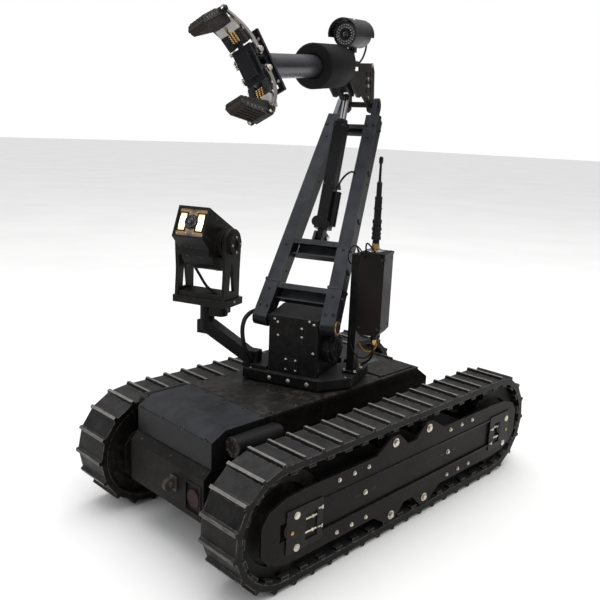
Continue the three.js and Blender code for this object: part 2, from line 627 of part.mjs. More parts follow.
add(arm, 'crossbar_low', crossbar(56, 97, -18, 20, 4, 12), PAINT);
const actuatorSeat = union([-17, 10].map((y) => box(-21, 14, y, y + 7, 229, 262)));
add(arm, 'crossbar_mid', union([crossbar(190, 232, -22, 19, 4, 12), actuatorSeat]), PAINT);
add(arm, 'crossbar_top', crossbar(588, 616, -20, -1, 3, 5), PAINT);

// Linear actuator from the middle crossbar to the elbow bracket.
const ACT_BASE = [-4, 248];
const ACT_PIN = [96, 652];
const actLength = Math.hypot(ACT_PIN[0] - ACT_BASE[0], ACT_PIN[1] - ACT_BASE[1]);
const actTilt = Math.atan2(ACT_PIN[0] - ACT_BASE[0], ACT_PIN[1] - ACT_BASE[1]) / DEG;
const actuator = group(arm, ACT_BASE[0], 0, ACT_BASE[1], 0, actTilt, 0);
const barrel = cut(box(-17, 17, -16, 16, 26, actLength - 88), [
  rod('z', 10.5, 44, actLength - 80, 0, 0, 20),
]);
const baseEyeOutline = [[-11, 30], [-11, 0]].concat(arc(0, 0, 11, 180, 360, 10), [[11, 30]]);
const baseEye = cut(slabXZ(baseEyeOutline, -9.5, 9.5), [rod('y', 4.5, -20, 20, 0, 0, 12)]);
const motorCan = union([
  rod('z', 10, 36, 132, -2, 25, 18),
  box(-16, 14, -21, 21, 26, 46),
  rod('x', 15, -20, 18, -14, 44, 18),
]);
add(actuator, 'actuator_barrel', union([barrel, baseEye, motorCan]), PLASTIC);
const plungerBore = rod('y', 5, -20, 20, 0, actLength, 12);
const plungerEye = cut(rod('y', 11, -7, 7, 0, actLength, 18), [plungerBore]);
add(actuator, 'actuator_rod', plungerEye.add(rod('z', 9.5, 110, actLength - 8, 0, 0, 20)), CHROME);

// Gas strut clipped along the back of the left leg.
const strutTilt = place(0, LEG_FOOT_Y - 4, 0, TOE_IN, 0, 0);
const strut = union([
  rod('z', 11, 430, 668, -LEG_DEPTH / 2 - 14, 0, 18),
  rod('z', 6, 150, 440, -LEG_DEPTH / 2 - 14, 0, 12),
  box(-LEG_DEPTH / 2 - 20, -LEG_DEPTH / 2 + 1.6, -7, 7, 150, 166),
  box(-LEG_DEPTH / 2 - 20, -LEG_DEPTH / 2 + 1.6, -7, 7, 600, 616),
]);
add(arm, 'arm_strut', strut.transform(strutTilt.elements), PLASTIC);

// ---------------------------------------------------------------- forearm
const forearm = group(turret, FOREARM_X, 0, FOREARM_Z, 0, FOREARM_PITCH, 0);
const elbowX = SHOULDER_X - ARM_LENGTH * Math.sin(ARM_LEAN * DEG);
const elbowZ = SHOULDER_Z + ARM_LENGTH * Math.cos(ARM_LEAN * DEG);
const pitchCos = Math.cos(FOREARM_PITCH * DEG);
const pitchSin = Math.sin(FOREARM_PITCH * DEG);
const ELBOW_U = (elbowX - FOREARM_X) * pitchCos - (elbowZ - FOREARM_Z) * pitchSin;
const ELBOW_V = (elbowX - FOREARM_X) * pitchSin + (elbowZ - FOREARM_Z) * pitchCos;
const pinX = SHOULDER_X + ACT_PIN[0] * Math.cos(ARM_LEAN * DEG) - ACT_PIN[1] * Math.sin(ARM_LEAN * DEG);
const pinZ = SHOULDER_Z + ACT_PIN[0] * Math.sin(ARM_LEAN * DEG) + ACT_PIN[1] * Math.cos(ARM_LEAN * DEG);
const PIN_U = (pinX - FOREARM_X) * pitchCos - (pinZ - FOREARM_Z) * pitchSin;
const PIN_V = (pinX - FOREARM_X) * pitchSin + (pinZ - FOREARM_Z) * pitchCos;

const drumRear = -DRUM_LENGTH;
const STALK_U = -231;
const STALK_V = 41;
const drumProfile = [
  [0, drumRear], [40, drumRear], [48, drumRear + 4], [DRUM_RADIUS, drumRear + 16], [DRUM_RADIUS, -3],
  [DRUM_RADIUS - 2, 0], [28, 0], [28, -60], [0, -60],
].map(([r, x]) => new THREE.Vector2(r, x));
const drumSolid = solid(new THREE.LatheGeometry(drumProfile, 36), place(0, 0, 0, 0, 0, -90));
add(forearm, 'wrist_drum', drumSolid, PLASTIC);

// Two slotted side plates joined by a flange behind the drum.
const bracketOutline = [
  [drumRear - 0.3, 30], [drumRear - 0.3, -40], [PIN_U + 16, PIN_V - 12], [PIN_U, PIN_V - 14],
  [PIN_U - 18, PIN_V - 8], [ELBOW_U + 34, ELBOW_V + 4], [ELBOW_U + 20, ELBOW_V - 18], [ELBOW_U, ELBOW_V - 24],
  [ELBOW_U - 20, ELBOW_V - 16], [ELBOW_U - 24, ELBOW_V + 10], [ELBOW_U - 22, -14],
  [ELBOW_U - 8, 8], [drumRear - 36, 8], [drumRear - 22, 30],
].reverse();
const bracketHoles = [];
for (let i = 0; i < 2; i += 1) {
  for (let k = 0; k < 3; k += 1) {
    const u = ELBOW_U + 6 + i * 34;
    const v = ELBOW_V + 34 + k * 22;
    bracketHoles.push(box(u, u + 9, -80, 80, v, v + 14));
  }
}
bracketHoles.push(box(drumRear - 64, drumRear - 24, -80, 80, -12, -2));
const bracketPlates = [-1, 1].map((side) => {
  return slabXZ(bracketOutline, side * 34 - 2.5, side * 34 + 2.5);
});
const bracketFlange = box(drumRear - 5.3, drumRear - 0.3, -36, 36, -38, 29);
const bracketShelf = box(drumRear - 96, drumRear - 30, -36, 36, 3, 8);
const elbowShaft = rod('y', 8, -64, 64, ELBOW_U, ELBOW_V, 16);
const stalkBase = box(-250, -214, 3, 27, 7, 12);
const stalkPost = box(-240, -222, 12, 18, 8, STALK_V);
const stalkHead = rod('y', 5, 12, 18, STALK_U, STALK_V, 12);
const pinLugs = [-1, 1].map((side) => {
  const near = side > 0 ? 11 : -16;
  const outline = [
    [PIN_U - 11, PIN_V - 11], [PIN_U + 11, PIN_V - 11], [drumRear - 3, -36], [drumRear - 3, -8],
    [PIN_U - 11, PIN_V + 11],
  ];
  return slabXZ(outline, near, near + 5);
});
const slottedPlates = bracketPlates.map((plate) => cut(plate, bracketHoles));
const bracketParts = [bracketFlange, bracketShelf, elbowShaft, stalkBase, stalkPost, stalkHead];
const bracket = union(bracketParts.concat(pinLugs, slottedPlates));
add(forearm, 'elbow_bracket', bracket, BRACKET);

// Forearm tube seated in the drum, ending in the wrist bearing.
const tubeProfile = [
  [20, -56], [TUBE_RADIUS, -56], [TUBE_RADIUS, WRIST_X - 16], [TUBE_RADIUS + 3, WRIST_X - 15],
  [TUBE_RADIUS + 3, WRIST_X - 1], [20, WRIST_X - 1], [20, -56],
].map(([r, x]) => new THREE.Vector2(r, x));
const tubeSolid = solid(new THREE.LatheGeometry(tubeProfile, 30), place(0, 0, 0, 0, 0, -90));
add(forearm, 'forearm_tube', tubeSolid, ANODISED);

// ---------------------------------------------------------------- gripper
const gripper = group(forearm, WRIST_X, 0, 0, GRIPPER_ROLL, 0, 0);
const palm = cut(box(0, 8, -30, 30, -70, 70), [-56, 56].map((z) => box(-5, 15, -18, 18, z - 5, z + 5)));
const spigot = rod('x', 19.5, -50, 2, 0, 0, 22);
const gearCase = cut(union([
  box(6, 58, -24, 24, -40, 40),
  box(50, 66, -15, 15, -26, 26),
]), [box(20, 50, -30, 30, -9, 9)]);
const pivots = [-1, 1].map((side) => rod('y', 6, -34, 34, FINGER_PIVOT_X, side * FINGER_PIVOT_Z, 12));
add(gripper, 'gripper_body', union([palm, spigot, gearCase].concat(pivots)), PLASTIC);

// One finger: a pair of curved links with spacers, turning about its pivot on the gripper body.
function makeFinger() {
  const outer = [];
  const inner = [];
  const steps = 10;
  for (let i = 0; i <= steps; i += 1) {
    const t = i / steps;
    const x = FINGER_SPAN_X * t * t;
    const bow = 12 * Math.sin(Math.PI * t);
    const z = FINGER_SPAN_Z * t;
    outer.push([x - 7 - bow * 0.5, z + bow * 0.2]);
    inner.push([x + 7 - bow * 0.5, z + bow * 0.2]);
  }
  const tip = arc(FINGER_SPAN_X, FINGER_SPAN_Z, 8.5, 0, 180, 8);
  const root = arc(0, 0, 10, 180, 360, 8);
  const sides = [outer.slice(0, steps).reverse(), root.slice(1, 8)];
  const outline = inner.slice(0, steps).concat(tip, ...sides);
  const plates = [-1, 1].map((side) => slabXZ(outline, side > 0 ? 25 : -30, side > 0 ? 30 : -25));
  const spacer = rod('y', 5, -27, 27, FINGER_SPAN_X * 0.34 - 4, FINGER_SPAN_Z * 0.58, 12);
  const tipBore = rod('y', 5.5, -40, 40, FINGER_SPAN_X, FINGER_SPAN_Z, 12);
  const bores = [rod('y', 6.5, -40, 40, 0, 0, 14), tipBore];
  return cut(union(plates.concat([spacer])), bores);
}

// A long narrow jaw: metal back with side slots, layered rubber face, pin through its root.
function makeJaw() {
  const backOutline = [[-16, -1], [-16, 6], [-8, 11], [80, 11], [92, 3], [92, -1]].reverse();
  const back = slabXZ(backOutline, -JAW_HALF_WIDTH, JAW_HALF_WIDTH);
  const pad = slabXZ([[-12, -24], [86, -11], [92, -5], [92, -0.5], [-16, -0.5], [-16, -18]], -19, 19);
  const slots = [];
  for (let i = 0; i < 5; i += 1) {
    slots.push(box(22 + i * 12, 27 + i * 12, -60, 60, 2, 8));
  }
  const grooves = [];
  for (let i = 0; i < 6; i += 1) {
    grooves.push(box(8 + i * 13, 12 + i * 13, -60, 60, -26, -18.5 + i * 1.7));
  }
  const pin = rod('y', 5, -34, 34, 0, 3, 12);
  return union([cut(union([back, pad]), slots.concat(grooves)), pin]);
}

for (const side of [1, -1]) {
  const label = side > 0 ? 'upper' : 'lower';
  const finger = group(gripper, FINGER_PIVOT_X, 0, side * FINGER_PIVOT_Z);
  const links = side > 0 ? makeFinger() : makeFinger().mirror([0, 0, 1]);
  add(finger, `finger_${label}`, links, CHROME);
  const jawFrame = group(finger, FINGER_SPAN_X, 0, side * FINGER_SPAN_Z, 0, side * JAW_PITCH, 0);
  const jaw = makeJaw().translate([0, 0, -3]);
  add(jawFrame, `jaw_${label}`, side > 0 ? jaw : jaw.mirror([0, 0, 1]), BRACKET);
}

// ---------------------------------------------------------------- bullet camera
const bullet = group(forearm, STALK_U, 0, STALK_V);
const bulletProfile = [
  [0, -68], [24, -68], [31, -62], [33, -54], [33, 52], [32, 56], [28, 56], [28, 53], [0, 53],
].map(([r, x]) => new THREE.Vector2(r, x));
const CAMERA_RISE = 39;
const bulletPlace = place(0, CAMERA_Y, CAMERA_RISE, 0, 0, -90);
const bulletBody = solid(new THREE.LatheGeometry(bulletProfile, 24), bulletPlace);
const bulletFoot = union([
  box(-9, 9, 6, 11.5, -6, 14),
  box(-9, 9, 18.5, 24, -6, 14),
]);
add(bullet, 'bullet_camera', bulletBody.add(bulletFoot), STEEL);
const hoodOuter = arc(0, 0, 41, -10, 190, 14);
const hoodInner = arc(0, 0, 38.5, 190, -10, 14);
const hood = slabYZ(hoodOuter.concat(hoodInner).map(([y, z]) => [y + CAMERA_Y, z + CAMERA_RISE]), -58, 76);
const hoodScrews = [-40, 30].map((x) => {
  return box(x - 4, x + 4, CAMERA_Y - 4, CAMERA_Y + 4, CAMERA_RISE + 33.3, CAMERA_RISE + 40);
});
add(bullet, 'camera_hood', union([hood].concat(hoodScrews)), STEEL);

export default robot;
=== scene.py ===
"""Tracked inspection robot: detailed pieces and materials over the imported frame. Metres, +X forward."""
import json
import math

import bmesh
import bpy
from mathutils import Matrix, Vector
from mathutils.bvhtree import BVHTree


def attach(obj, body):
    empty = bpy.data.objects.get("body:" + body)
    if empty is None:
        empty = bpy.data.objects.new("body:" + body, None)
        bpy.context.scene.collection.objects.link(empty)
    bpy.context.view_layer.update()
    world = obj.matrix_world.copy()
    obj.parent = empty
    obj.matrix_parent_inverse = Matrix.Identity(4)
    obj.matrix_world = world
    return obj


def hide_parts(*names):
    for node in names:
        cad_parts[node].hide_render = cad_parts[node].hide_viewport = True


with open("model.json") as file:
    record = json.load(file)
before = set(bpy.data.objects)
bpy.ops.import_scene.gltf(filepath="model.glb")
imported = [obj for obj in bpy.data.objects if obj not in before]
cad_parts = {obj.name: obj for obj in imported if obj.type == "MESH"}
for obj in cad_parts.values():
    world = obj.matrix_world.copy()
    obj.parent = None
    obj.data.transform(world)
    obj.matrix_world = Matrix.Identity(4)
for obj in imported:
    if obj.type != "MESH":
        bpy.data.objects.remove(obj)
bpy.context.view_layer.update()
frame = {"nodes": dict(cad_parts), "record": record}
RECORD = frame["record"]
BODY_OF = {node: body for body, nodes in RECORD["behaviour"]["bodies"].items() for node in nodes}
SLOT_OF = {part["node"]: part["material_slot"] for part in RECORD["subparts"]}
MM = 0.001
SCALE = Matrix.Scale(MM, 4)          # millimetres to metres
RAD = math.pi / 180


# ---- local frames, in millimetres
def shift(x, y, z):
    return Matrix.Translation((x, y, z))


def turn(axis, degrees):
    return Matrix.Rotation(degrees * RAD, 4, axis)


WORLD = Matrix.Identity(4)
TURRET = shift(70, 0, 0) @ turn("Z", 20)
PAN = TURRET @ shift(79, -268, 520)
TILT = PAN @ shift(0, 0, 168) @ turn("Y", -24)
ARM = TURRET @ shift(74, 0, 502) @ turn("Y", -33.5)
ACT_TILT = math.degrees(math.atan2(100, 404))
ACT_LENGTH = math.hypot(100, 404)
ACTUATOR = ARM @ shift(-4, 0, 248) @ turn("Y", ACT_TILT)
FOREARM = TURRET @ shift(37, 0, 1145) @ turn("Y", 5.4)
GRIPPER = FOREARM @ shift(262, 0, 0) @ turn("X", 28.4)
FINGER = {side: GRIPPER @ shift(40, 0, 21 * side) for side in (1, -1)}
JAW = {side: FINGER[side] @ shift(62, 0, 88 * side) @ turn("Y", 17 * side) for side in (1, -1)}
BULLET = FOREARM @ shift(-231, 0, 41)
AXLE_Z = 153


def leg_frame(side):
    toe_in = math.degrees(math.atan2(42, 682))
    return ARM @ shift(0, side * 97, 0) @ turn("X", side * toe_in)


def new_object(name, data):
    obj = bpy.data.objects.new(name, data)
    bpy.context.collection.objects.link(obj)
    return obj


# ---- materials
def new_material(name):
    material = bpy.data.materials.new(name)
    material.use_nodes = True
    tree = material.node_tree
    tree.nodes.clear()
    output = tree.nodes.new("ShaderNodeOutputMaterial")
    shader = tree.nodes.new("ShaderNodeBsdfPrincipled")
    tree.links.new(shader.outputs[0], output.inputs[0])
    return material, tree, shader


def put(tree, value, socket):
    """Link a value from another node to this socket, or set it here."""
    if isinstance(value, bpy.types.NodeSocket):
        tree.links.new(value, socket)
    else:
        socket.default_value = (*value, 1.0) if socket.type == "RGBA" and len(value) == 3 else value


def add(tree, kind, inputs, **settings):
    """A shader node with its settings and its inputs."""
    made = tree.nodes.new("ShaderNode" + kind)
    for key, value in settings.items():
        setattr(made, key, value)
    for key, value in inputs.items():
        put(tree, value, made.inputs[key])
    return made


def noise(tree, coords, scale, detail=4.0, rough=0.55):
    inputs = {"Scale": scale, "Detail": detail, "Roughness": rough, "Vector": coords}
    return add(tree, "TexNoise", inputs).outputs["Fac"]


def remap(tree, value, low, high, to_low=0.0, to_high=1.0):
    inputs = {"Value": value, "From Min": low, "From Max": high, "To Min": to_low, "To Max": to_high}
    return add(tree, "MapRange", inputs, interpolation_type="SMOOTHSTEP").outputs["Result"]


def math_node(tree, operation, *values):
    return add(tree, "Math", dict(enumerate(values)), operation=operation).outputs[0]


def times(tree, a, b):
    return math_node(tree, "MULTIPLY", a, b)


def mix_colour(tree, factor, a, b):
    first, second, result = 6, 7, 2          # the colour sockets of the node
    return add(tree, "Mix", {0: factor, first: a, second: b}, data_type="RGBA").outputs[result]


def object_coords(tree, scale=(1, 1, 1)):
    coords = add(tree, "TexCoord", {}).outputs["Object"]
    return add(tree, "Mapping", {"Scale": scale, "Vector": coords}).outputs["Vector"]


def edge_mask(tree, radius, low, high):
    """1 on convex and concave edges, 0 on flats."""
    bevel = add(tree, "Bevel", {"Radius": radius}, samples=4).outputs[0]
    normal = add(tree, "NewGeometry", {}).outputs["Normal"]
    dot = add(tree, "VectorMath", {0: bevel, 1: normal}, operation="DOT_PRODUCT")
    return remap(tree, dot.outputs["Value"], high, low)


M = {}
GREY_WEAR = (0.22, 0.22, 0.22)
DUST = (0.2, 0.17, 0.13)
SPECKS = (0.5, 0.48, 0.44)
RELIEF = 0.0006


def surface(name, colour, rough, metal=0.0, blotch=0.25, blotch_scale=9.0, grain=1400.0, bump=0.15, wear=0.5,
        wear_colour=GREY_WEAR, wear_radius=0.0016, dust=0.0, dust_colour=DUST, speck=0.0, streak=None, coat=0.0,
        rough_spread=0.1, specular=0.13, top=None, top_from=0.25, top_to=0.9):
    """One finish: blotched base, top faces painted lighter as painted light from above, grain in bump, worn
    edges, dust and specks.
    """
    material, tree, shader = new_material(name)
    coords = object_coords(tree)
    cloud = remap(tree, noise(tree, coords, blotch_scale, 5.0), 0.32, 0.68)
    dark = tuple(c * (1 - blotch) for c in colour)
    light = tuple(min(1.0, c * (1 + blotch)) for c in colour)
    base = mix_colour(tree, cloud, dark, light)
    # With a top colour, faces turned up are painted lighter by their normal: painted light from above, broken
    # up by noise.
    if top:
        normal = add(tree, "NewGeometry", {}).outputs["Normal"]
        lit_from_above = remap(tree, add(tree, "SeparateXYZ", {0: normal}).outputs["Z"], top_from, top_to)
        patchy = remap(tree, noise(tree, coords, blotch_scale * 2.3, 5.0), 0.3, 0.7, 0.55, 1.0)
        base = mix_colour(tree, times(tree, lit_from_above, patchy), base, top)
    fine = noise(tree, coords, grain, 2.0)
    if streak:
        fine = noise(tree, object_coords(tree, streak), 1.0, 3.0)
        base = mix_colour(tree, remap(tree, fine, 0.3, 0.7, 0.0, 0.55), base, light)
    roughness = math_node(tree, "MULTIPLY_ADD", cloud, rough_spread, rough - rough_spread * 0.5)
    if dust:
        patches = times(tree, noise(tree, coords, 5.5, 6.0, 0.7), noise(tree, coords, 60.0, 4.0))
        patches = remap(tree, patches, 0.2, 0.42, 0.0, dust)
        base = mix_colour(tree, patches, base, dust_colour)
        roughness = math_node(tree, "ADD", roughness, times(tree, patches, 0.5))
    if speck:
        dots = remap(tree, noise(tree, coords, 260.0, 3.0, 0.6), 0.70, 0.76, 0.0, speck)
        base = mix_colour(tree, dots, base, SPECKS)
    if wear:
        broken = remap(tree, noise(tree, coords, 85.0, 4.0, 0.65), 0.36, 0.6)
        mask = times(tree, edge_mask(tree, wear_radius, 0.90, 0.985), broken)
        base = mix_colour(tree, times(tree, mask, wear), base, wear_colour)
    relief = add(tree, "Bump", {"Strength": bump, "Distance": RELIEF, "Height": fine}).outputs[0]
    for key, value in {"Base Color": base, "Roughness": roughness, "Metallic": metal, "Coat Weight": coat,
            "Coat Roughness": 0.25, "Specular IOR Level": specular, "Normal": relief}.items():
        put(tree, value, shader.inputs[key])
    M[name] = material


def lamp_glow(name, centre, size, strength):
    """A lit lamp face: white in the middle, warm towards its rim, with reflector flutes."""
    material, tree, shader = new_material(name)
    inputs = {"Location": centre, "Scale": (size, size, size), "Vector":
        add(tree, "TexCoord", {}).outputs["Object"]}
    local = add(tree, "Mapping", inputs, vector_type="TEXTURE").outputs[0]
    away = add(tree, "VectorMath", {0: local}, operation="LENGTH").outputs["Value"]
    near = remap(tree, away, 0.25, 1.15)
    colour = mix_colour(tree, near, (1.0, 0.93, 0.78), (1.0, 0.60, 0.24))
    flutes = remap(tree, noise(tree, object_coords(tree), 420.0, 1.0), 0.3, 0.7, 0.75, 1.1)
    power = times(tree, remap(tree, near, 0.0, 1.0, strength, strength * 0.28), flutes)
    for key, value in {"Base Color": colour, "Emission Color": colour, "Emission Strength": power, "Roughness":
            0.25}.items():
        put(tree, value, shader.inputs[key])
    return material


def lamp_spill(name, centres, reach, strength):
    """Dark plate with the warm spill of the lamps set in it painted on as a glow, fading with distance."""
    material, tree, shader = new_material(name)
    coords = object_coords(tree)
    shares = []
    for centre in centres:
        apart = add(tree, "VectorMath", {0: coords, 1: centre}, operation="DISTANCE").outputs["Value"]
        shares.append(remap(tree, apart, 0.016, reach, strength, 0.0))
    total = math_node(tree, "MAXIMUM", *shares)
    grain = remap(tree, noise(tree, coords, 900.0, 2.0), 0.3, 0.7, 0.8, 1.1)
    cloud = remap(tree, noise(tree, coords, 40.0, 4.0), 0.35, 0.65)
    base = mix_colour(tree, cloud, (0.010, 0.009, 0.009), (0.02, 0.018, 0.017))
    for key, value in {"Base Color": base, "Emission Color": (1.0, 0.62, 0.34), "Roughness": 0.5,
            "Emission Strength": times(tree, total, grain)}.items():
        put(tree, value, shader.inputs[key])
    return material


WARM_BLACK = (0.0055, 0.0046, 0.0041)
# Each top colour below is painted light from above, laid on up-facing faces.
surface("hull_paint", WARM_BLACK, 0.50, wear=0.3, wear_colour=(0.10, 0.09, 0.085), dust=0.05, speck=0.10,
    specular=0.09, top=(0.014, 0.0135, 0.0135))
surface("cover_paint", (0.0080, 0.0080, 0.0092), 0.36, wear=0.35, wear_colour=(0.12, 0.12, 0.12), dust=0.04,
    bump=0.1, speck=0.08, specular=0.14, top=(0.030, 0.031, 0.036))
surface("deck_paint", (0.0082, 0.0076, 0.0076), 0.33, wear=0.35, wear_colour=(0.12, 0.11, 0.10), dust=0.20,
    speck=0.3, rough_spread=0.3, specular=0.16, top=(0.017, 0.0165, 0.0165))
surface("tow_steel", (0.05, 0.042, 0.036), 0.48, 0.5, grain=600, wear=0.4, dust=0.2)
surface("motor_black", (0.0075, 0.0075, 0.0082), 0.36, wear=0.2, bump=0.1)
surface("track_rubber", (0.0060, 0.0052, 0.0046), 0.40, blotch=0.4, blotch_scale=14, grain=700, bump=0.4,
    wear=0.9, wear_colour=(0.19, 0.185, 0.18), wear_radius=0.003, dust=0.10, dust_colour=(0.11, 0.10, 0.09),
    speck=0.55, rough_spread=0.22, specular=0.10, top=(0.040, 0.039, 0.041))
surface("wheel_paint", (0.008, 0.0072, 0.0068), 0.55, wear=0.4, wear_colour=(0.1, 0.1, 0.1), dust=0.1)
surface("plate_paint", (0.0052, 0.0038, 0.0030), 0.40, wear=0.45, wear_colour=(0.14, 0.13, 0.12), dust=0.07,
    speck=0.2, dust_colour=(0.09, 0.075, 0.06), specular=0.09)
surface("carrier_paint", (0.0085, 0.0070, 0.0060), 0.40, 0.1, wear=0.4, wear_colour=(0.16, 0.15, 0.14),
    dust=0.06)
surface("turret_paint", (0.0062, 0.0058, 0.0062), 0.44, wear=0.4, wear_colour=(0.13, 0.13, 0.13), dust=0.04,
    specular=0.10, top=(0.028, 0.028, 0.031))
surface("box_paint", (0.0092, 0.0066, 0.0058), 0.42, wear=0.35, wear_colour=(0.11, 0.11, 0.11), grain=900,
    bump=0.2)
surface("antenna_black", (0.007, 0.007, 0.008), 0.45, wear=0.15, bump=0.2)
surface("lamp_paint", (0.0082, 0.0074, 0.0072), 0.46, wear=0.45, wear_colour=(0.14, 0.13, 0.12), dust=0.05)
surface("lens_glass", (0.012, 0.013, 0.018), 0.10, wear=0.1, bump=0.0, coat=1.0, rough_spread=0.04)
surface("arm_paint", (0.0100, 0.0098, 0.0108), 0.34, 0.05, wear=0.55, wear_colour=(0.2, 0.2, 0.2), bump=0.1,
    top=(0.054, 0.056, 0.066), top_from=0.2, top_to=0.6)
surface("actuator_black", (0.0105, 0.0105, 0.0115), 0.36, 0.1, wear=0.4, wear_colour=(0.16, 0.16, 0.16))
surface("chrome_rod", (0.66, 0.66, 0.68), 0.14, 1.0, blotch=0.1, wear=0.0, bump=0.03, rough_spread=0.08)
surface("drum_black", (0.0062, 0.0062, 0.0070), 0.62, grain=420, bump=0.7, wear=0.15,
    wear_colour=(0.1, 0.1, 0.1), speck=0.10)
surface("bracket_metal", (0.026, 0.0235, 0.022), 0.38, 0.5, wear=0.5, wear_colour=(0.30, 0.28, 0.26), dust=0.08)
surface("tube_anodised", (0.105, 0.105, 0.118), 0.30, 0.85, blotch=0.1, wear=0.2, bump=0.05, streak=(3, 46, 46))
surface("gripper_black", (0.010, 0.010, 0.012), 0.34, 0.15, wear=0.45, wear_colour=(0.2, 0.2, 0.2))
surface("finger_chrome", (0.50, 0.47, 0.43), 0.20, 1.0, blotch=0.3, wear=0.4, wear_colour=(0.75, 0.75, 0.75),
    bump=0.06, rough_spread=0.15)
surface("jaw_metal", (0.030, 0.027, 0.025), 0.44, 0.45, wear=0.7, wear_colour=(0.30, 0.28, 0.26))
surface("camera_shell", (0.050, 0.047, 0.047), 0.32, 0.7, wear=0.4, wear_colour=(0.35, 0.34, 0.32), bump=0.08)
surface("zinc", (0.62, 0.58, 0.50), 0.30, 1.0, blotch=0.3, blotch_scale=60, wear=0.3,
    wear_colour=(0.8, 0.78, 0.72), dust=0.2, bump=0.1)
surface("black_screw", (0.018, 0.018, 0.019), 0.30, 0.5, wear=0.6, wear_colour=(0.3, 0.3, 0.3))
surface("brass", (0.42, 0.27, 0.10), 0.30, 1.0, blotch=0.25, wear=0.3, wear_colour=(0.85, 0.68, 0.38))
surface("pad_rubber", (0.020, 0.0165, 0.0145), 0.72, grain=500, bump=0.5, wear=0.5,
    wear_colour=(0.11, 0.095, 0.085))
surface("nylon", (0.42, 0.41, 0.39), 0.45, blotch=0.1, wear=0.2, bump=0.05)
surface("cable_black", (0.008, 0.008, 0.0085), 0.42, wear=0.0, bump=0.25, dust=0.05)
surface("cable_amber", (0.50, 0.24, 0.04), 0.4, wear=0.0, bump=0.1)
surface("led_clear", (0.36, 0.34, 0.34), 0.12, wear=0.0, bump=0.0, coat=0.8, rough_spread=0.04)
surface("port_red", (0.022, 0.0095, 0.008), 0.5, wear=0.35, wear_colour=(0.09, 0.05, 0.04), dust=0.05)
# A lighter grey for lit faces: a painted highlight.
surface("lit_strip", (0.12, 0.125, 0.135), 0.35, 0.7, wear=0.4, wear_colour=(0.4, 0.4, 0.4))
# Tread bar tips: real wear, made lighter still as a painted highlight, with painted light from above on their
# tops.
surface("worn_and_highlit_bar", (0.075, 0.072, 0.068), 0.36, blotch=0.55, blotch_scale=38, grain=900, bump=0.4, wear=0.8,
    wear_colour=(0.42, 0.41, 0.39), wear_radius=0.002, dust=0.2, speck=0.4, top=(0.21, 0.205, 0.195),
    top_from=0.1, top_to=0.7)
surface("blank_plate", (0.10, 0.105, 0.11), 0.42, 0.3, wear=0.4, wear_colour=(0.3, 0.3, 0.3), dust=0.2)


# ---- mesh kit
EDGE_ANGLE = 34 * RAD


def finish_piece(name, mesh, body, material, bevel=0.0, segments=2, replaces=(), extra=()):
    obj = new_object(name, mesh)
    for entry in [material] + list(extra):
        mesh.materials.append(M[entry] if isinstance(entry, str) else entry)
    for polygon in mesh.polygons:
        polygon.use_smooth = True
    mesh.set_sharp_from_angle(angle=EDGE_ANGLE)
    if bevel:
        rounding = obj.modifiers.new("edges", "BEVEL")
        rounding.width = bevel * MM
        rounding.segments = segments
        rounding.limit_method = "ANGLE"
        rounding.angle_limit = EDGE_ANGLE
        rounding.use_clamp_overlap = True
        rounding.harden_normals = True
    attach(obj, body)
    if replaces:
        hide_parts(*replaces)


WELD, FLAT = 2e-6, 0.6 * RAD          # metres, radians
CARRIER_FACE, SET_BACK_TO = 0.3365, 0.3342          # leaves room for the carrier bolts inside the CAD box
SET_BACK = {f"{part}_axle_{side}" for part in ("idler", "sprocket") for side in ("left", "right")}


def skin(node_name, bevel, material, split, extra):
    """A detailed copy of a CAD node: welded, flats joined, edges rounded."""
    mesh = frame["nodes"][node_name].data.copy()
    mesh.materials.clear()
    work = bmesh.new()
    work.from_mesh(mesh)
    bmesh.ops.remove_doubles(work, verts=work.verts, dist=WELD)
    bmesh.ops.dissolve_limit(work, angle_limit=FLAT, verts=work.verts, edges=work.edges)
    for face in work.faces:
        face.material_index = split(face) if split else 0
    if node_name in SET_BACK:
        for vert in work.verts:
            if abs(vert.co.y) > CARRIER_FACE:
                vert.co.y = math.copysign(SET_BACK_TO, vert.co.y)
    work.to_mesh(mesh)
    work.free()
    if "custom_normal" in mesh.attributes:
        mesh.attributes.remove(mesh.attributes["custom_normal"])
    slot = SLOT_OF[node_name]
    finish_piece(f"{node_name}_skin", mesh, BODY_OF[node_name], material or slot, bevel, 2, (node_name,),
        extra)


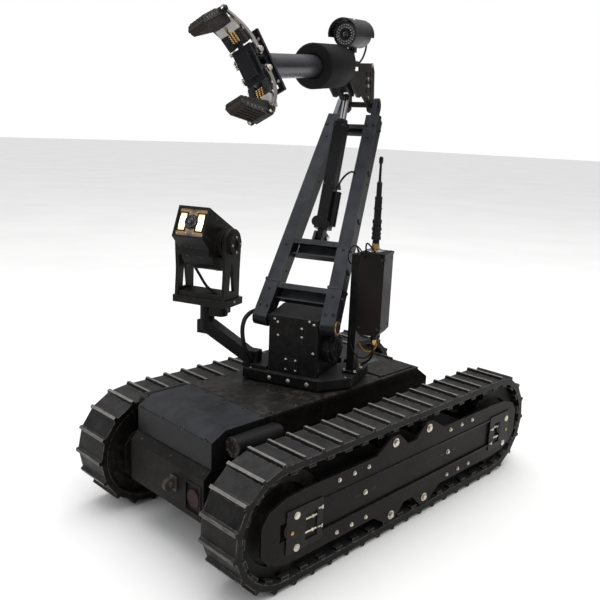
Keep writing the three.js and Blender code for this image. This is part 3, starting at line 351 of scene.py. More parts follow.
class Part:
    """Collects solids in a local frame and turns them into one piece."""

    def __init__(self, matrix):
        self.matrix = SCALE @ matrix
        self.mesh = bmesh.new()

    def _place(self, verts, local):
        bmesh.ops.transform(self.mesh, matrix=self.matrix @ local, verts=verts)

    def box(self, x0, x1, y0, y1, z0, z1, local=WORLD):
        made = bmesh.ops.create_cube(self.mesh, size=1.0)["verts"]
        size = Matrix.Diagonal((x1 - x0, y1 - y0, z1 - z0, 1))
        self._place(made, local @ shift((x0 + x1) / 2, (y0 + y1) / 2, (z0 + z1) / 2) @ size)

    def lathe(self, profile, local=WORLD, steps=24):
        """Revolves (radius, height) points about local Z; ends on the axis close the body."""
        rings = []
        for radius, height in profile:
            turns = [2 * math.pi * i / steps for i in range(steps)] if radius > 1e-6 else [0.0]
            rings.append([self.mesh.verts.new((radius * math.cos(a), radius * math.sin(a), height)) for a in
                turns])
        for lower, upper in zip(rings, rings[1:]):
            for i in range(steps):
                k = (i + 1) % steps
                a = [lower[0]] if len(lower) == 1 else [lower[i], lower[k]]
                b = [upper[0]] if len(upper) == 1 else [upper[k], upper[i]]
                if len(a) + len(b) > 2:
                    self.mesh.faces.new(a + b)
        self._place([v for ring in rings for v in ring], local)

    def prism(self, outline, z0, z1, local=WORLD):
        """A closed outline in local XY, swept from z0 to z1."""
        low = [self.mesh.verts.new((x, y, z0)) for x, y in outline]
        high = [self.mesh.verts.new((x, y, z1)) for x, y in outline]
        self.mesh.faces.new(list(reversed(low)))
        self.mesh.faces.new(high)
        for i in range(len(outline)):
            k = (i + 1) % len(outline)
            self.mesh.faces.new([low[i], low[k], high[k], high[i]])
        self._place(low + high, local)

    def gear(self, radius, thickness, teeth, local):
        outline = []
        for i in range(teeth * 4):
            r = radius if i % 4 in (1, 2) else radius - 1.8
            angle = 2 * math.pi * (i - 1.5) / (teeth * 4)
            outline.append((r * math.cos(angle), r * math.sin(angle)))
        self.prism(outline, 0, thickness, local)

    def hex_bolt(self, local, radius, height, washer=1.35):
        """Washer, hex head with a domed top, its base at the local origin and its axis along +Z."""
        wide, seat = radius * washer, 1.5
        self.lathe([(0, 0), (wide, 0), (wide, 1.1), (wide - 0.5, seat), (0, seat)], local, 20)
        self.lathe([(0, seat), (radius, seat), (radius, seat + height * 0.8), (radius * 0.82, seat + height),
            (0, seat + height)], local, 6)

    def socket_screw(self, local, radius, height):
        """Cap screw with a sunk hexagon, its base at the local origin."""
        r, h = radius, height
        self.lathe([(0, 0), (r, 0), (r, h * 0.82), (r * 0.86, h), (r * 0.5, h), (r * 0.48, h * 0.35),
            (0, h * 0.3)], local, 18)

    def pan_screw(self, local, radius, height):
        """Round-topped screw with a dimple for its cross-slot."""
        r, h = radius, height
        self.lathe([(0, 0), (r, 0), (r * 0.96, h * 0.5), (r * 0.7, h * 0.86), (r * 0.34, h),
            (r * 0.2, h * 0.55), (0, h * 0.5)], local, 16)

    def done(self, name, body, material, bevel=0.0, segments=2):
        bmesh.ops.recalc_face_normals(self.mesh, faces=self.mesh.faces)
        mesh = bpy.data.meshes.new(name)
        self.mesh.to_mesh(mesh)
        self.mesh.free()
        finish_piece(name, mesh, body, material, bevel, segments)


def turned(name, body, material, slot, matrix, bevel, *turnings):
    """One piece of lathed shapes: (profile, placement, steps)."""
    part = Part(matrix)
    for turning in turnings:
        part.lathe(*turning)
    part.done(name, body, material, bevel)


def rod(radius, height):
    """The profile of a plain cylinder."""
    return [(0, 0), (radius, 0), (radius, height), (0, height)]


def around(count, radius, start=0):
    """Evenly spaced points on a circle, from a start angle in degrees."""
    angles = [math.radians(360 / count * i + start) for i in range(count)]
    return [(radius * math.cos(angle), radius * math.sin(angle)) for angle in angles]


FACE_Y = turn("X", -90)          # local +Z turned to +Y
FACE_Y_NEG = turn("X", 90)       # local +Z turned to -Y
FACE_X = turn("Y", 90)           # local +Z turned to +X
FACE_X_NEG = turn("Y", -90)
OUTWARD = {1: FACE_Y, -1: FACE_Y_NEG}
SIDES = ((1, "left"), (-1, "right"))


def at(x, y, z, facing=WORLD):
    return shift(x, y, z) @ facing


def smooth_path(points, steps=8):
    """A Catmull-Rom curve through the points."""
    path = [Vector(p) for p in points]
    padded = [path[0] * 2 - path[1]] + path + [path[-1] * 2 - path[-2]]
    result = []
    for i in range(1, len(padded) - 2):
        a, b, c, d = padded[i - 1:i + 3]
        for k in range(steps):
            t = k / steps
            result.append(0.5 * ((2 * b) + (c - a) * t + (2 * a - 5 * b + 4 * c - d) * t * t +
                (3 * b - a - 3 * c + d) * t ** 3))
    result.append(path[-1])
    return result


def cable(name, matrix, points, diameter, body, material="cable_black"):
    """A cable through points given in a local frame in mm."""
    line = [SCALE @ matrix @ p for p in smooth_path(points)]
    data = bpy.data.curves.new(name, "CURVE")
    data.dimensions = "3D"
    data.bevel_depth = diameter * MM / 2
    data.bevel_resolution = 3
    data.use_fill_caps = True
    spline = data.splines.new("POLY")
    spline.points.add(len(line) - 1)
    for point, place in zip(spline.points, line):
        point.co = (*place, 1)
    spline.use_smooth = True
    obj = new_object(name, data)
    data.materials.append(M[material])
    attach(obj, body)


# ---- camera
YAW, PITCH, ROLL = 3.922, 0.228, 0.041          # radians
EYE = (1.42427, 1.30994, 0.98293)
LENS = 43.06
forward = Vector((math.cos(YAW) * math.cos(PITCH), math.sin(YAW) * math.cos(PITCH), -math.sin(PITCH)))
level_right = Vector((math.sin(YAW), -math.cos(YAW), 0))
level_up = level_right.cross(forward)
right = math.cos(ROLL) * level_right + math.sin(ROLL) * level_up
up = -math.sin(ROLL) * level_right + math.cos(ROLL) * level_up
camera_data = bpy.data.cameras.new("camera")
camera_data.sensor_width = 36
camera_data.lens = LENS
camera_data.clip_end = 60
camera = new_object("camera", camera_data)
camera.matrix_world = Matrix.Translation(EYE) @ Matrix((right, up, -forward)).transposed().to_4x4()
bpy.context.scene.camera = camera

# ---- carried-over nodes with rounded edges
BEVEL = 0.8
BEVELS = {
    "hull_tub": 1.2, "front_cover": 2.0, "tow_eye": 1.0, "turret_plate": 1.2, "turret_housing": 1.0,
    "shoulder_motor": 1.5, "radio_box": 1.6, "antenna": 0.5, "lamp_arm": 1.0, "pan_yoke": 1.6, "lamp_head": 2.0,
    "arm_leg_left": 1.4, "arm_leg_right": 1.4, "actuator_barrel": 1.2, "actuator_rod": 0.5, "wrist_drum": 3.5,
    "elbow_bracket": 0.6, "forearm_tube": 0.5, "jaw_upper": 1.0, "jaw_lower": 1.0, "camera_hood": 0.6,
}
PAIRED = {"track_belt": 1.6, "idler_axle": 0.7, "sprocket_axle": 0.7, "sprocket": 1.2, "idler": 1.2,
    "drive_motor": 1.0}
for _, side_name in SIDES:
    BEVELS.update({f"{stem}_{side_name}": width for stem, width in PAIRED.items()})

LEG_TIP, STRUT_LIT, PAD_TOP = 632, 432, -3.8      # heights in mm where a finish changes, or where the painted highlight of lit_strip begins
TREAD_RADIUS, WHEEL_X = 0.1495, 0.436          # metres: beyond this radius a face is the tip of a bar
ARM_INVERSE = (SCALE @ ARM).inverted()
JAW_INVERSE = {side: (SCALE @ JAW[side]).inverted() for side in (1, -1)}


def leg_split(face):
    return int((ARM_INVERSE @ face.calc_center_median()).z > LEG_TIP)


def strut_split(face):
    return int((ARM_INVERSE @ face.calc_center_median()).z < STRUT_LIT)


def jaw_split(side):
    return lambda face: int(side * (JAW_INVERSE[side] @ face.calc_center_median()).z < PAD_TOP)


def belt_split(face):
    centre = face.calc_center_median()
    reach = math.hypot(max(abs(centre.x) - WHEEL_X, 0.0), centre.z - AXLE_Z * MM)
    return int(reach > TREAD_RADIUS)


SPLITS = {
    "track_belt_left": (belt_split, ["worn_and_highlit_bar"]), "track_belt_right": (belt_split, ["worn_and_highlit_bar"]),
    "arm_leg_left": (leg_split, ["arm_paint"]), "arm_leg_right": (leg_split, ["lit_strip"]),
    "arm_strut": (strut_split, ["lit_strip"]),
    "jaw_upper": (jaw_split(1), ["pad_rubber"]), "jaw_lower": (jaw_split(-1), ["pad_rubber"]),
}
for node_name in frame["nodes"]:
    split, extra = SPLITS.get(node_name, (None, []))
    material = {"deck_plate": "deck_paint", "rear_hatch": "deck_paint"}.get(node_name)
    skin(node_name, BEVELS.get(node_name, BEVEL), material, split, extra)


# ---- placing small pieces on the nodes
SURFACES = {}


def landing(matrix, names, start, heading):
    """Where a line from a local point (mm) first meets the named nodes: a placement standing on it."""
    to_world = SCALE @ matrix
    origin = to_world @ Vector(start)
    direction = (matrix.to_3x3() @ Vector(heading)).normalized()
    best = None
    for name in names:
        if name not in SURFACES:
            source = frame["nodes"][name]
            points = [source.matrix_world @ vertex.co for vertex in source.data.vertices]
            SURFACES[name] = BVHTree.FromPolygons(points, [tuple(p.vertices) for p in source.data.polygons])
        place, normal, _, distance = SURFACES[name].ray_cast(origin, direction)
        if place is not None and (best is None or distance < best[2]):
            best = (place, normal, distance)
    if best is None:
        print("no surface for", names, start)
        return None
    place, normal, _ = best
    if normal.dot(direction) > 0:
        normal = -normal
    return Matrix.Translation(place / MM) @ normal.to_track_quat("Z", "Y").to_matrix().to_4x4()


SUNK = 0.1          # how far a fastener's base is let into its surface, in mm


def fasten(name, body, material, matrix, names, entries, bevel):
    """One piece of several fasteners: (kind, start, heading, radius, height) in a local frame, each start well
    clear of the part and each fastener standing where its heading meets the named nodes."""
    part = Part(WORLD)
    for kind, start, heading, radius, height in entries:
        local = landing(matrix, names, start, heading)
        if local is None:
            continue
        local = local @ shift(0, 0, -SUNK)
        make = {"hex": part.hex_bolt, "cap": part.socket_screw, "pan": part.pan_screw}[kind]
        make(local, radius, height)
    part.done(name, body, material, bevel)


def axis_screw(x, y, z, angle, away, radius, height):
    """A pan screw that points at an axis along X, from an angle in degrees."""
    across, rise = math.cos(math.radians(angle)), math.sin(math.radians(angle))
    return ("pan", (x, y + away * across, z + away * rise), (0, -across, -rise), radius, height)


DOWN, UP = (0, 0, -1), (0, 0, 1)
BACK, AHEAD = (-1, 0, 0), (1, 0, 0)

# ---- track side plates
PLATE_SEAT, CHANNEL_SEAT, CARRIER_SEAT = 330.9, 327.9, 334.1      # where the heads stand
for side, label in SIDES:
    facing = OUTWARD[side]
    bolts = Part(WORLD)
    for x in (79, -62):
        for z in (-98, 98):
            bolts.hex_bolt(at(x, PLATE_SEAT * side, AXLE_Z + z, facing), 7.8, 4.4, 1.5)
    bolts.done(f"roller_bolts_{label}", "hull", "zinc", 0.3)
    bolts = Part(WORLD)
    for x in (284, 232, 180, -164, -218, -271):
        for z in (-66, 66):
            bolts.hex_bolt(at(x, PLATE_SEAT * side, AXLE_Z + z, facing), 4.3, 2.4, 1.3)
    for x in (184, -164):
        bolts.hex_bolt(at(x, CHANNEL_SEAT * side, AXLE_Z, facing), 5.2, 3.2, 1.4)
    bolts.done(f"plate_screws_{label}", "hull", "zinc", 0.2)
    bolts = Part(WORLD)
    for x, z in ((420, 182), (418, 104), (-462, 174), (-455, 98)):
        bolts.hex_bolt(at(x, CARRIER_SEAT * side, z, facing), 6.4, 1.3, 1.4)
    bolts.done(f"carrier_bolts_{label}", "hull", "zinc", 0.2)
    plugs = Part(WORLD)
    for x, z in ((433, 144), (-467, 138)):
        plugs.pan_screw(at(x, CARRIER_SEAT * side, z, facing), 5.0, 2.4)
    plugs.done(f"carrier_plugs_{label}", "hull", "brass", 0.2)

    lips = Part(WORLD)
    for z0, z1 in ((187.5, 192.6), (109.4, 114.5)):
        lips.prism([(-394, 326), (-394, 331.6), (-388, 333.4), (334, 333.4), (340, 331.6), (340, 326)], z0, z1,
            Matrix.Scale(side, 4, (0, 1, 0)))
    lips.done(f"channel_lips_{label}", "hull", "plate_paint", 0.5)

    slots = Part(WORLD)
    for x in (154, 214, -194, -134):
        slots.prism([(x - 9, -3), (x + 9, -3), (x + 11.4, 0), (x + 9, 3), (x - 9, 3), (x - 11.4, 0)], 0, 0.9,
            shift(0, 327.8 * side, AXLE_Z) @ facing)
    slots.done(f"slot_marks_{label}", "hull", "motor_black", 0.2)

    adjusters = Part(WORLD)
    for x0, x1 in ((354, 393), (-429, -395)):
        for z in (127, 160):
            steps = int((x1 - x0) / 1.5)
            threads = [(2.6 if i % 2 else 2.0, (x1 - x0) * i / steps) for i in range(steps + 1)]
            adjusters.lathe([(0, 0)] + threads + [(0, x1 - x0)], at(x0, 330.6 * side, z, FACE_X), 12)
            adjusters.lathe(rod(4.4, 4.5), at(x0 + 12, 330.2 * side, z, FACE_X), 6)
    for x0 in (339, -388):
        for z in (129, 175) if x0 > 0 else (116, 160):
            y0, y1 = sorted((333 * side, 336.4 * side))
            adjusters.box(x0, x0 + 4, y0, y1, z - 4.5, z + 4.5)
            adjusters.lathe(rod(1.9, 13), at(x0 + 2, 334.6 * side, z, FACE_X), 10)
    adjusters.done(f"adjusters_{label}", "hull", "zinc", 0.2)

    hubs = Part(WORLD)
    for x in (438, -436):
        hubs.lathe([(0, 0), (25, 0), (25, 3), (22, 5), (12, 5.4), (11, 3.2), (0, 3)],
            at(x, 300 * side, AXLE_Z, facing), 30)
    hubs.done(f"hub_caps_{label}", "hull", "bracket_metal", 0.3)

# ---- hull
HULL = ["hull_tub", "front_cover", "deck_plate"]
entries = [("cap", (509, y, 420), DOWN, 4.6, 3.2) for y in (-128, -42, 42, 128)]
entries += [("pan", (640, y, 234), BACK, 4.4, 2.4) for y in (-112, 9, 133)]
entries += [("pan", (355, y, 420), DOWN, 3.8, 2.0) for y in (-138, -70, 0, 70, 138)]
entries += [("pan", (x, y, 420), DOWN, 3.6, 1.8) for x in (318, 240, -70, -150, -236) for y in (-138, 138)]
fasten("hull_screws", "hull", "black_screw", WORLD, HULL, entries, 0.2)

panel = Part(WORLD)
for y0, y1, z0, z1 in ((80, 84, 130, 206), (136, 140, 130, 206), (84, 136, 130, 134), (84, 136, 202, 206)):
    panel.box(526.5, 532.2, y0, y1, z0, z1)
for y in (88, 132):
    for z in (138, 198):
        panel.socket_screw(at(527, y, z, FACE_X), 3.0, 2.6)
panel.done("panel_frame", "hull", "hull_paint", 0.5)
turned("round_port", "hull", "port_red", "hull_paint", WORLD, 0.3,
    ([(0, 0), (22.5, 0), (22.5, 2.6), (21, 4), (18, 4.2), (17, 3.2), (0, 3.0)], at(527, 110, 168, FACE_X), 36))

for side, label in SIDES:
    y = 175 * side
    cap = Part(WORLD)
    cap.lathe([(0, 0), (24, 0), (24.4, 1.2), (23, 3.4), (15, 4.2), (14, 2.4), (5, 2.2), (4.4, 4), (0, 4.4)],
        at(470, y, 298, FACE_X), 36)
    for across, rise in around(6, 19, 30):
        cap.socket_screw(at(472.8, y + across, 298 + rise, FACE_X), 2.1, 2.4)
    cap.done(f"motor_cap_{label}", "hull", "bracket_metal", 0.2)

plate_place = landing(WORLD, ["rear_hatch", "deck_plate"], (-176, 34, 500), DOWN)
blank = Part(WORLD)
blank.box(-26, 26, -9, 9, 0, 0.9, Matrix.Translation(plate_place.translation))
blank.done("blank_plate", "hatch", "blank_plate", 0.2)
entries = [("pan", (x, y, 500), DOWN, 3.8, 2.0) for x in (-222, -165, -108) for y in (-124, 124)]
entries += [("pan", (-108, y, 500), DOWN, 3.8, 2.0) for y in (-42, 42)]
fasten("hatch_screws", "hatch", "black_screw", WORLD, ["rear_hatch"], entries, 0.2)

# ---- turret
HOUSING = ["turret_housing"]
fasten("housing_front_screws", "turret", "zinc", TURRET, HOUSING,
    [("pan", (220, y, z), BACK, 3.6, 2.4) for y, z in
    ((-45, 499), (-43, 463), (25, 490), (26, 467), (59, 505), (59, 428), (-54, 506), (46, 512))], 0.2)
entries = [("pan", (x, 200, z), (0, -1, 0), 4.0, 2.2) for x, z in
    ((-44, 505), (74, 500), (-44, 380), (74, 380))]
entries += [("pan", (x, -200, z), (0, 1, 0), 4.0, 2.2) for x, z in ((-44, 505), (-44, 380), (74, 380))]
entries += [("pan", (x, y, 700), DOWN, 3.8, 2.0) for x, y in ((-46, -58), (-46, 58), (-4, -58), (-4, 58))]
fasten("housing_screws", "turret", "black_screw", TURRET, HOUSING, entries, 0.2)

square = Part(TURRET)
square.box(87.8, 90.4, -20, 16, 370, 406)
square.box(90.2, 91.4, -13, 9, 377, 399)
for y in (-16, 12):
    for z in (374, 402):
        square.box(90.2, 91.8, y - 5, y + 5, z - 5, z + 5)
square.done("square_cover", "turret", "turret_paint", 0.6)
square = Part(TURRET)
for y in (-16, 12):
    for z in (374, 402):
        square.pan_screw(at(91.7, y, z, FACE_X), 3.2, 2.0)
square.done("square_cover_screws", "turret", "zinc", 0.2)

entries = [("hex", (220, y, 349), BACK, 4.4, 2.6) for y in (-55, 0, 54)]
entries += [("cap", (x, y, 500), DOWN, 3.2, 2.0) for x, y in ((40, 134), (-84, 128), (-104, -110), (96, -118))]
entries += [("hex", (x, y, 500), DOWN, 4.4, 3.4) for x, y in ((-44, 114), (0, 114), (-44, 144), (0, 144))]
fasten("turret_bolts", "turret", "zinc", TURRET, ["turret_plate", "mast"], entries, 0.2)

turned("motor_ring", "turret", "motor_black", "motor_black", TURRET, 0.2,
    ([(13.5, 0), (23, 0), (23, 2.4), (22, 3.2), (15, 3.2), (13.5, 2), (13.5, 0)], at(26, 103.8, 436, FACE_Y),
    36), ([(0, 0), (8, 0), (8, 2.6), (5, 3.2), (0, 3.2)], at(26, 109.8, 436, FACE_Y), 6))
motor = Part(TURRET)
for across, rise in around(8, 39.3):
    motor.socket_screw(at(26 + across, 91.8, 436 + rise, FACE_Y), 2.6, 2.6)
for across, rise in around(6, 30, 10):
    motor.socket_screw(at(26 + across, 103.8, 436 + rise, FACE_Y), 2.4, 2.2)
motor.done("motor_screws", "turret", "black_screw", 0.15)

# Radio box, its connectors and the antenna base.
ANTENNA = (-44, 166)
entries = [("pan", (x, y, 800), DOWN, 3.0, 1.6) for x, y in ((-73, 144), (-11, 144), (-73, 200), (-11, 200))]
entries += [("pan", (60, y, z), BACK, 3.4, 1.8) for y, z in ((145, 676), (199, 676), (146, 492), (197, 492))]
entries += [("pan", (x, 300, z), (0, -1, 0), 3.4, 1.8) for x, z in
    ((-70, 676), (-14, 676), (-70, 496), (-14, 496))]
fasten("radio_screws", "turret", "black_screw", TURRET, ["radio_box"], entries, 0.2)
turned("antenna_disc", "turret", "chrome_rod", "antenna_black", TURRET, 0.2,
    ([(8.4, 0), (25.4, 0), (26.4, 1.2), (26, 2.4), (19, 3.4), (16, 5.4), (8.4, 5.6), (8.4, 0)],
    at(*ANTENNA, 691.9), 40))
turned("antenna_nut", "turret", "brass", "antenna_black", TURRET, 0.3, (rod(11.2, 8), at(*ANTENNA, 697), 6),
    ([(0, 0), (9.4, 0), (9.8, 1), (9.8, 6), (9.2, 7), (0, 7)], at(*ANTENNA, 705), 24))
ribs = Part(TURRET)
for z, radius, height in ((722, 12.4, 9), (735, 12.0, 6), (746, 12.8, 8), (764, 12.2, 10), (800, 10.8, 5),
        (826, 9.8, 7)):
    ribs.lathe([(0, 0), (radius - 0.8, 0), (radius, 0.9), (radius, height - 0.9), (radius - 0.8, height),
        (0, height)], at(*ANTENNA, z), 24)
ribs.done("antenna_ribs", "turret", "antenna_black", 0.0)
for x, label, material in ((-30, "front", "brass"), (-56, "rear", "bracket_metal")):
    turned(f"box_gland_{label}", "turret", material, "box_paint", TURRET, 0.3,
        (rod(8.2, 8), at(x, 181.3, 451), 6), ([(0, 0), (5.2, 0), (6, 3), (6, 9), (0, 9)], at(x, 181.3, 443),
        18))
cable("box_cable_black", TURRET, [(-30, 181.3, 446), (-31, 181, 428), (-36, 176, 408), (-42, 165, 392),
    (-46, 150, 380), (-44, 138, 366), (-44, 136, 358)], 6.5, "turret")
cable("box_cable_amber", TURRET, [(-56, 181.3, 446), (-56, 181, 434), (-55, 175, 422), (-52, 164, 415),
    (-47, 152, 417), (-42, 143, 428), (-38, 137, 440)], 4.4, "turret", "cable_amber")
cable("box_cable_side", TURRET, [(-30, 181.3, 446), (-28, 182, 432), (-22, 176, 416), (-12, 164, 408),
    (-2, 150, 412), (4, 138, 428), (2, 128, 448), (-4, 124, 470), (-6, 124, 492)], 4.6, "turret")
cable("coax_loop", TURRET, [(-20, 150, 690), (-15, 150, 704), (-8, 154, 714), (2, 162, 716), (8, 174, 708),
    (8, 186, 694), (4, 196, 680), (-1, 201, 664), (-9, 201, 652)], 4.4, "turret")
cable("coax_coil", TURRET, [(-22, 128, 682), (-14, 128, 696), (0, 130, 706), (12, 138, 702), (14, 148, 690),
    (6, 154, 680), (-6, 152, 680), (-12, 142, 690), (-6, 132, 704), (4, 124, 708), (14, 118, 698),
    (14, 114, 680), (4, 114, 664), (-8, 118, 656)], 3.6, "turret")
cable("lamp_feed", TURRET, [(20, -66, 500), (20, -92, 503), (30, -119, 508), (60, -135, 509), (95, -138, 498),
    (114, -136, 476), (118, -132, 446), (112, -127, 418), (98, -122, 396), (84, -118, 376), (74, -112, 360)],
    12.0, "turret")

# ---- lamp
YOKE = ["pan_yoke"]
entries = [("cap", (x, y, 60), DOWN, 4.2, 2.6) for x in (-38, 38) for y in (-78, 78)]
entries += [("pan", (0, 200, 11), (0, -1, 0), 4.0, 2.2)]
entries += [("cap", (x, -200, 168 + z), (0, 1, 0), 3.4, 1.8) for x, z in ((20, 0), (-20, 0), (0, 20), (0, -20))]
entries += [("cap", (x, 200, 168 + z), (0, -1, 0), 3.4, 1.8) for x, z in ((20, 0), (-20, 0), (0, 20), (0, -20))]
fasten("yoke_screws", "yoke", "zinc", PAN, YOKE, entries, 0.2)

HEAD = ["lamp_head"]
LAMP_EYE = (0, 22)
entries = [("pan", (x, y, 200), DOWN, 3.8, 2.0) for x in (-60, 8, 84) for y in (-36, 36)]
entries += [("pan", (x, y, -200), UP, 4.2, 2.4) for x, y in
    ((38, -20), (51, -20), (38, 22), (51, 22), (-30, -30), (-30, 30))]
entries += [("cap", (x, 200, z), (0, -1, 0), 3.6, 2.0) for x, z in ((26, 0), (-26, 0), (0, 26), (0, -26))]
entries += [("pan", (x, side * 200, z), (0, -side, 0), 3.4, 1.8) for side in (1, -1) for x, z in
    ((88, 50), (88, -10), (60, 48), (-66, 40))]
fasten("lamp_screws", "lamp", "black_screw", TILT, HEAD, entries, 0.2)
entries = [("pan", (200, y, z), BACK, 2.6, 1.6) for y in (-39, 39) for z in (-11, 53)]
entries += [("pan", (200, y, z), BACK, 2.2, 1.4) for y in (-11, 11) for z in (-8, 50)]
fasten("lamp_face_screws", "lamp", "zinc", TILT, HEAD, entries, 0.15)
for side, label in SIDES:
    bezel = Part(TILT)
    y0, y1, z0, z1 = 27 * side - 13, 27 * side + 13, -4, 48
    for a, b, c, d in ((y0, y0 + 3, z0, z1), (y1 - 3, y1, z0, z1), (y0 + 3, y1 - 3, z0, z0 + 3),
            (y0 + 3, y1 - 3, z1 - 3, z1)):
        bezel.box(96.8, 101.5, a, b, c, d)
    bezel.done(f"lamp_bezel_{label}", "lamp", "lamp_paint", 0.6)
    glow = Part(TILT)
    for i in range(3):
        glow.box(97, 99.2, y0 + 3.2 + 6.7 * i, y0 + 3.2 + 6.7 * i + 6.2, z0 + 3.4, z1 - 3.4)
    centre = SCALE @ TILT @ Vector((99, 27 * side, 22))
    glow.done(f"lamp_light_{label}", "lamp", lamp_glow(f"lamp_glow_{label}", centre, 0.021, 4.5),
        0.9, 3)
# Painted glow: the lamps' warm spill emitted by the face plate itself.
spill = Part(TILT)
spill.box(96.6, 97.5, -42.6, 42.6, -15.6, 57.6)
centres = [SCALE @ TILT @ Vector((98, y, 22)) for y in (-27, 27)]
spill.done("lamp_face_plate", "lamp", lamp_spill("lamp_spill", centres, 0.050, 0.42), 0.3)
turned("lamp_lens", "lamp", "lens_glass", "lens_glass", TILT, 0.0,
    ([(0, 0), (11, 0), (10.4, 1.4), (7.4, 2.8), (3.6, 3.6), (0, 3.8)], at(104.4, *LAMP_EYE, FACE_X), 30))
turned("lamp_lens_ring", "lamp", "camera_shell", "lamp_paint", TILT, 0.2,
    ([(11.2, 0), (16.8, 0), (16.8, 2), (15.8, 3), (13.6, 3), (12.4, 2.2), (11.2, 1.2), (11.2, 0)],
    at(104.6, *LAMP_EYE, FACE_X), 36), ([(17.3, 0), (20.4, 0), (20.4, 3.4), (19.4, 4.6), (18.4, 4.6),
    (17.3, 3.4), (17.3, 0)], at(97.2, *LAMP_EYE, FACE_X), 36))
cable("lamp_cable", PAN, [(-12, -67.5, 106), (-12, -58, 101), (-9, -44, 87), (-5, -28, 70), (0, -12, 54),
    (6, 4, 43), (12, 20, 38), (18, 34, 35), (20, 44, 29)], 8.0, "yoke")

# ---- arm
for side, label in SIDES:
    leg = [f"arm_leg_{label}"]
    matrix = leg_frame(side)
    entries = [("cap", (200, y, s), BACK, 4.4, 2.8) for s in (26, 600) for y in (-11, 11)]
    entries += [("pan", (200, 0, s), BACK, 4.0, 2.2) for s in (76, 211, 560)]
    entries += [("cap", (x, side * 200, 604), (0, -side, 0), 4.6, 3.0) for x in (-12, 12)]
    entries += [("pan", (x, side * 200, s), (0, -side, 0), 4.0, 2.2) for s in (76, 211) for x in (-10, 10)]
    entries += [("pan", (-200, 0, s), AHEAD, 4.0, 2.2) for s in (76, 211, 600)]
    fasten(f"leg_screws_{label}", "arm", "black_screw", matrix, leg, entries, 0.2)
    facing = OUTWARD[side]
    turned(f"shoulder_washer_{label}", "arm", "brass", "arm_paint", matrix, 0.2,
        ([(12.8, 0), (18.6, 0), (18.6, 1.8), (17.8, 2.6), (14, 2.6), (12.8, 1.8), (12.8, 0)],
        at(0, 20.05 * side, 0, facing), 32))
    clips = Part(matrix)
    for s in (150, 300, 450):
        clips.box(-9, 9, side * 19.6 - 2, side * 19.6 + 2, s, s + 9)
        clips.box(-23.4, -21, -8, 8, s + 20, s + 29)
    clips.done(f"leg_clips_{label}", "arm", "cable_black", 0.8)

entries = [("pan", (200, y, 89), BACK, 2.8, 1.4) for y in (-58, 58)]
entries += [("pan", (200, y, 225), BACK, 2.8, 1.4) for y in (-52, 52)]
entries += [("cap", (-200, y, s), AHEAD, 4.2, 2.6) for y in (-58, 58) for s in (76, 211)]
fasten("crossbar_screws", "arm", "black_screw", ARM,
    ["crossbar_low", "crossbar_mid", "crossbar_top"], entries, 0.2)

BARREL = ["actuator_barrel"]
entries = [("cap", (12, 0, 120), DOWN, 2.4, 1.4)]
entries += [("pan", (100, y, s), BACK, 2.8, 1.6) for y in (-11, 11) for s in (150, 316)]
entries += [("pan", (x, -100, s), (0, 1, 0), 2.8, 1.6) for x in (-11, 11) for s in (150, 316)]
entries += [("pan", (x, 100, s), (0, -1, 0), 2.8, 1.6) for x in (-11, 11) for s in (150, 316)]
fasten("actuator_screws", "arm", "black_screw", ACTUATOR, BARREL, entries, 0.15)
turned("actuator_collar", "arm", "bracket_metal", "actuator_black", ACTUATOR, 0.2,
    ([(10.2, 0), (15, 0), (15.6, 1), (15.6, 6), (14.4, 8), (10.8, 8.6), (10.2, 7.6), (10.2, 0)],
    at(0, 0, ACT_LENGTH - 88.4), 32))
pins = Part(ACTUATOR)
pins.lathe(rod(4.3, 42), at(0, -21, 0, FACE_Y), 16)
for y in (-21.5, 19):
    pins.lathe(rod(7.6, 2.6), at(0, y, 0, FACE_Y), 16)
pins.done("actuator_base_pin", "arm", "zinc", 0.3)
turned("actuator_gland", "arm", "bracket_metal", "actuator_black", ACTUATOR, 0.3,
    (rod(7.5, 5), at(0, 25, 139), 6), ([(0, 0), (5, 0), (5.6, 3), (5, 8), (0, 8)], at(0, 25, 143), 16))
cable("actuator_cable", ACTUATOR, [(0, 25, 146), (-1, 27, 162), (-6, 38, 184), (-16, 50, 196), (-30, 60, 190),
    (-40, 66, 170), (-44, 70, 140), (-44, 74, 104), (-42, 77, 66), (-36, 78, 36), (-28, 76, 14)], 5.5, "arm")

# ---- forearm
BRACKET_NODES = ["elbow_bracket"]
entries = [("cap", (u, side * 200, v), (0, -side, 0), radius, 2.6) for side in (1, -1) for u, v, radius in
    ((-300, -34, 4.6), (-301, -53, 4.6), (-304, -86, 5.0), (-329, 1, 4.4))]
entries += [("cap", (0, y, v), BACK, 3.6, 2.2) for y, v in ((-24, 20), (24, 20), (-24, -28), (24, -28))]
entries += [("pan", (-240, y, 100), DOWN, 3.4, 2.0) for y in (-24, -8)]
entries += [("cap", (u, y, 100), DOWN, 3.2, 2.0) for u in (-246, -218) for y in (7, 23)]
fasten("bracket_bolts", "forearm", "zinc", FOREARM, BRACKET_NODES, entries, 0.2)
marks = Part(FOREARM)
for angle in (52, 118):
    local = turn("X", angle) @ shift(-34, 0, 54.7)
    marks.box(-7, 7, -3.2, 3.2, 0, 0.55, local)
marks.done("drum_marks", "forearm", "nylon", 0.2)
fasten("wrist_screws", "forearm", "black_screw", FOREARM, ["forearm_tube"],
    [axis_screw(248, 0, 0, angle, 100, 2.6, 1.4) for angle in (30, 90, 150, 210, 270, 330)], 0.15)

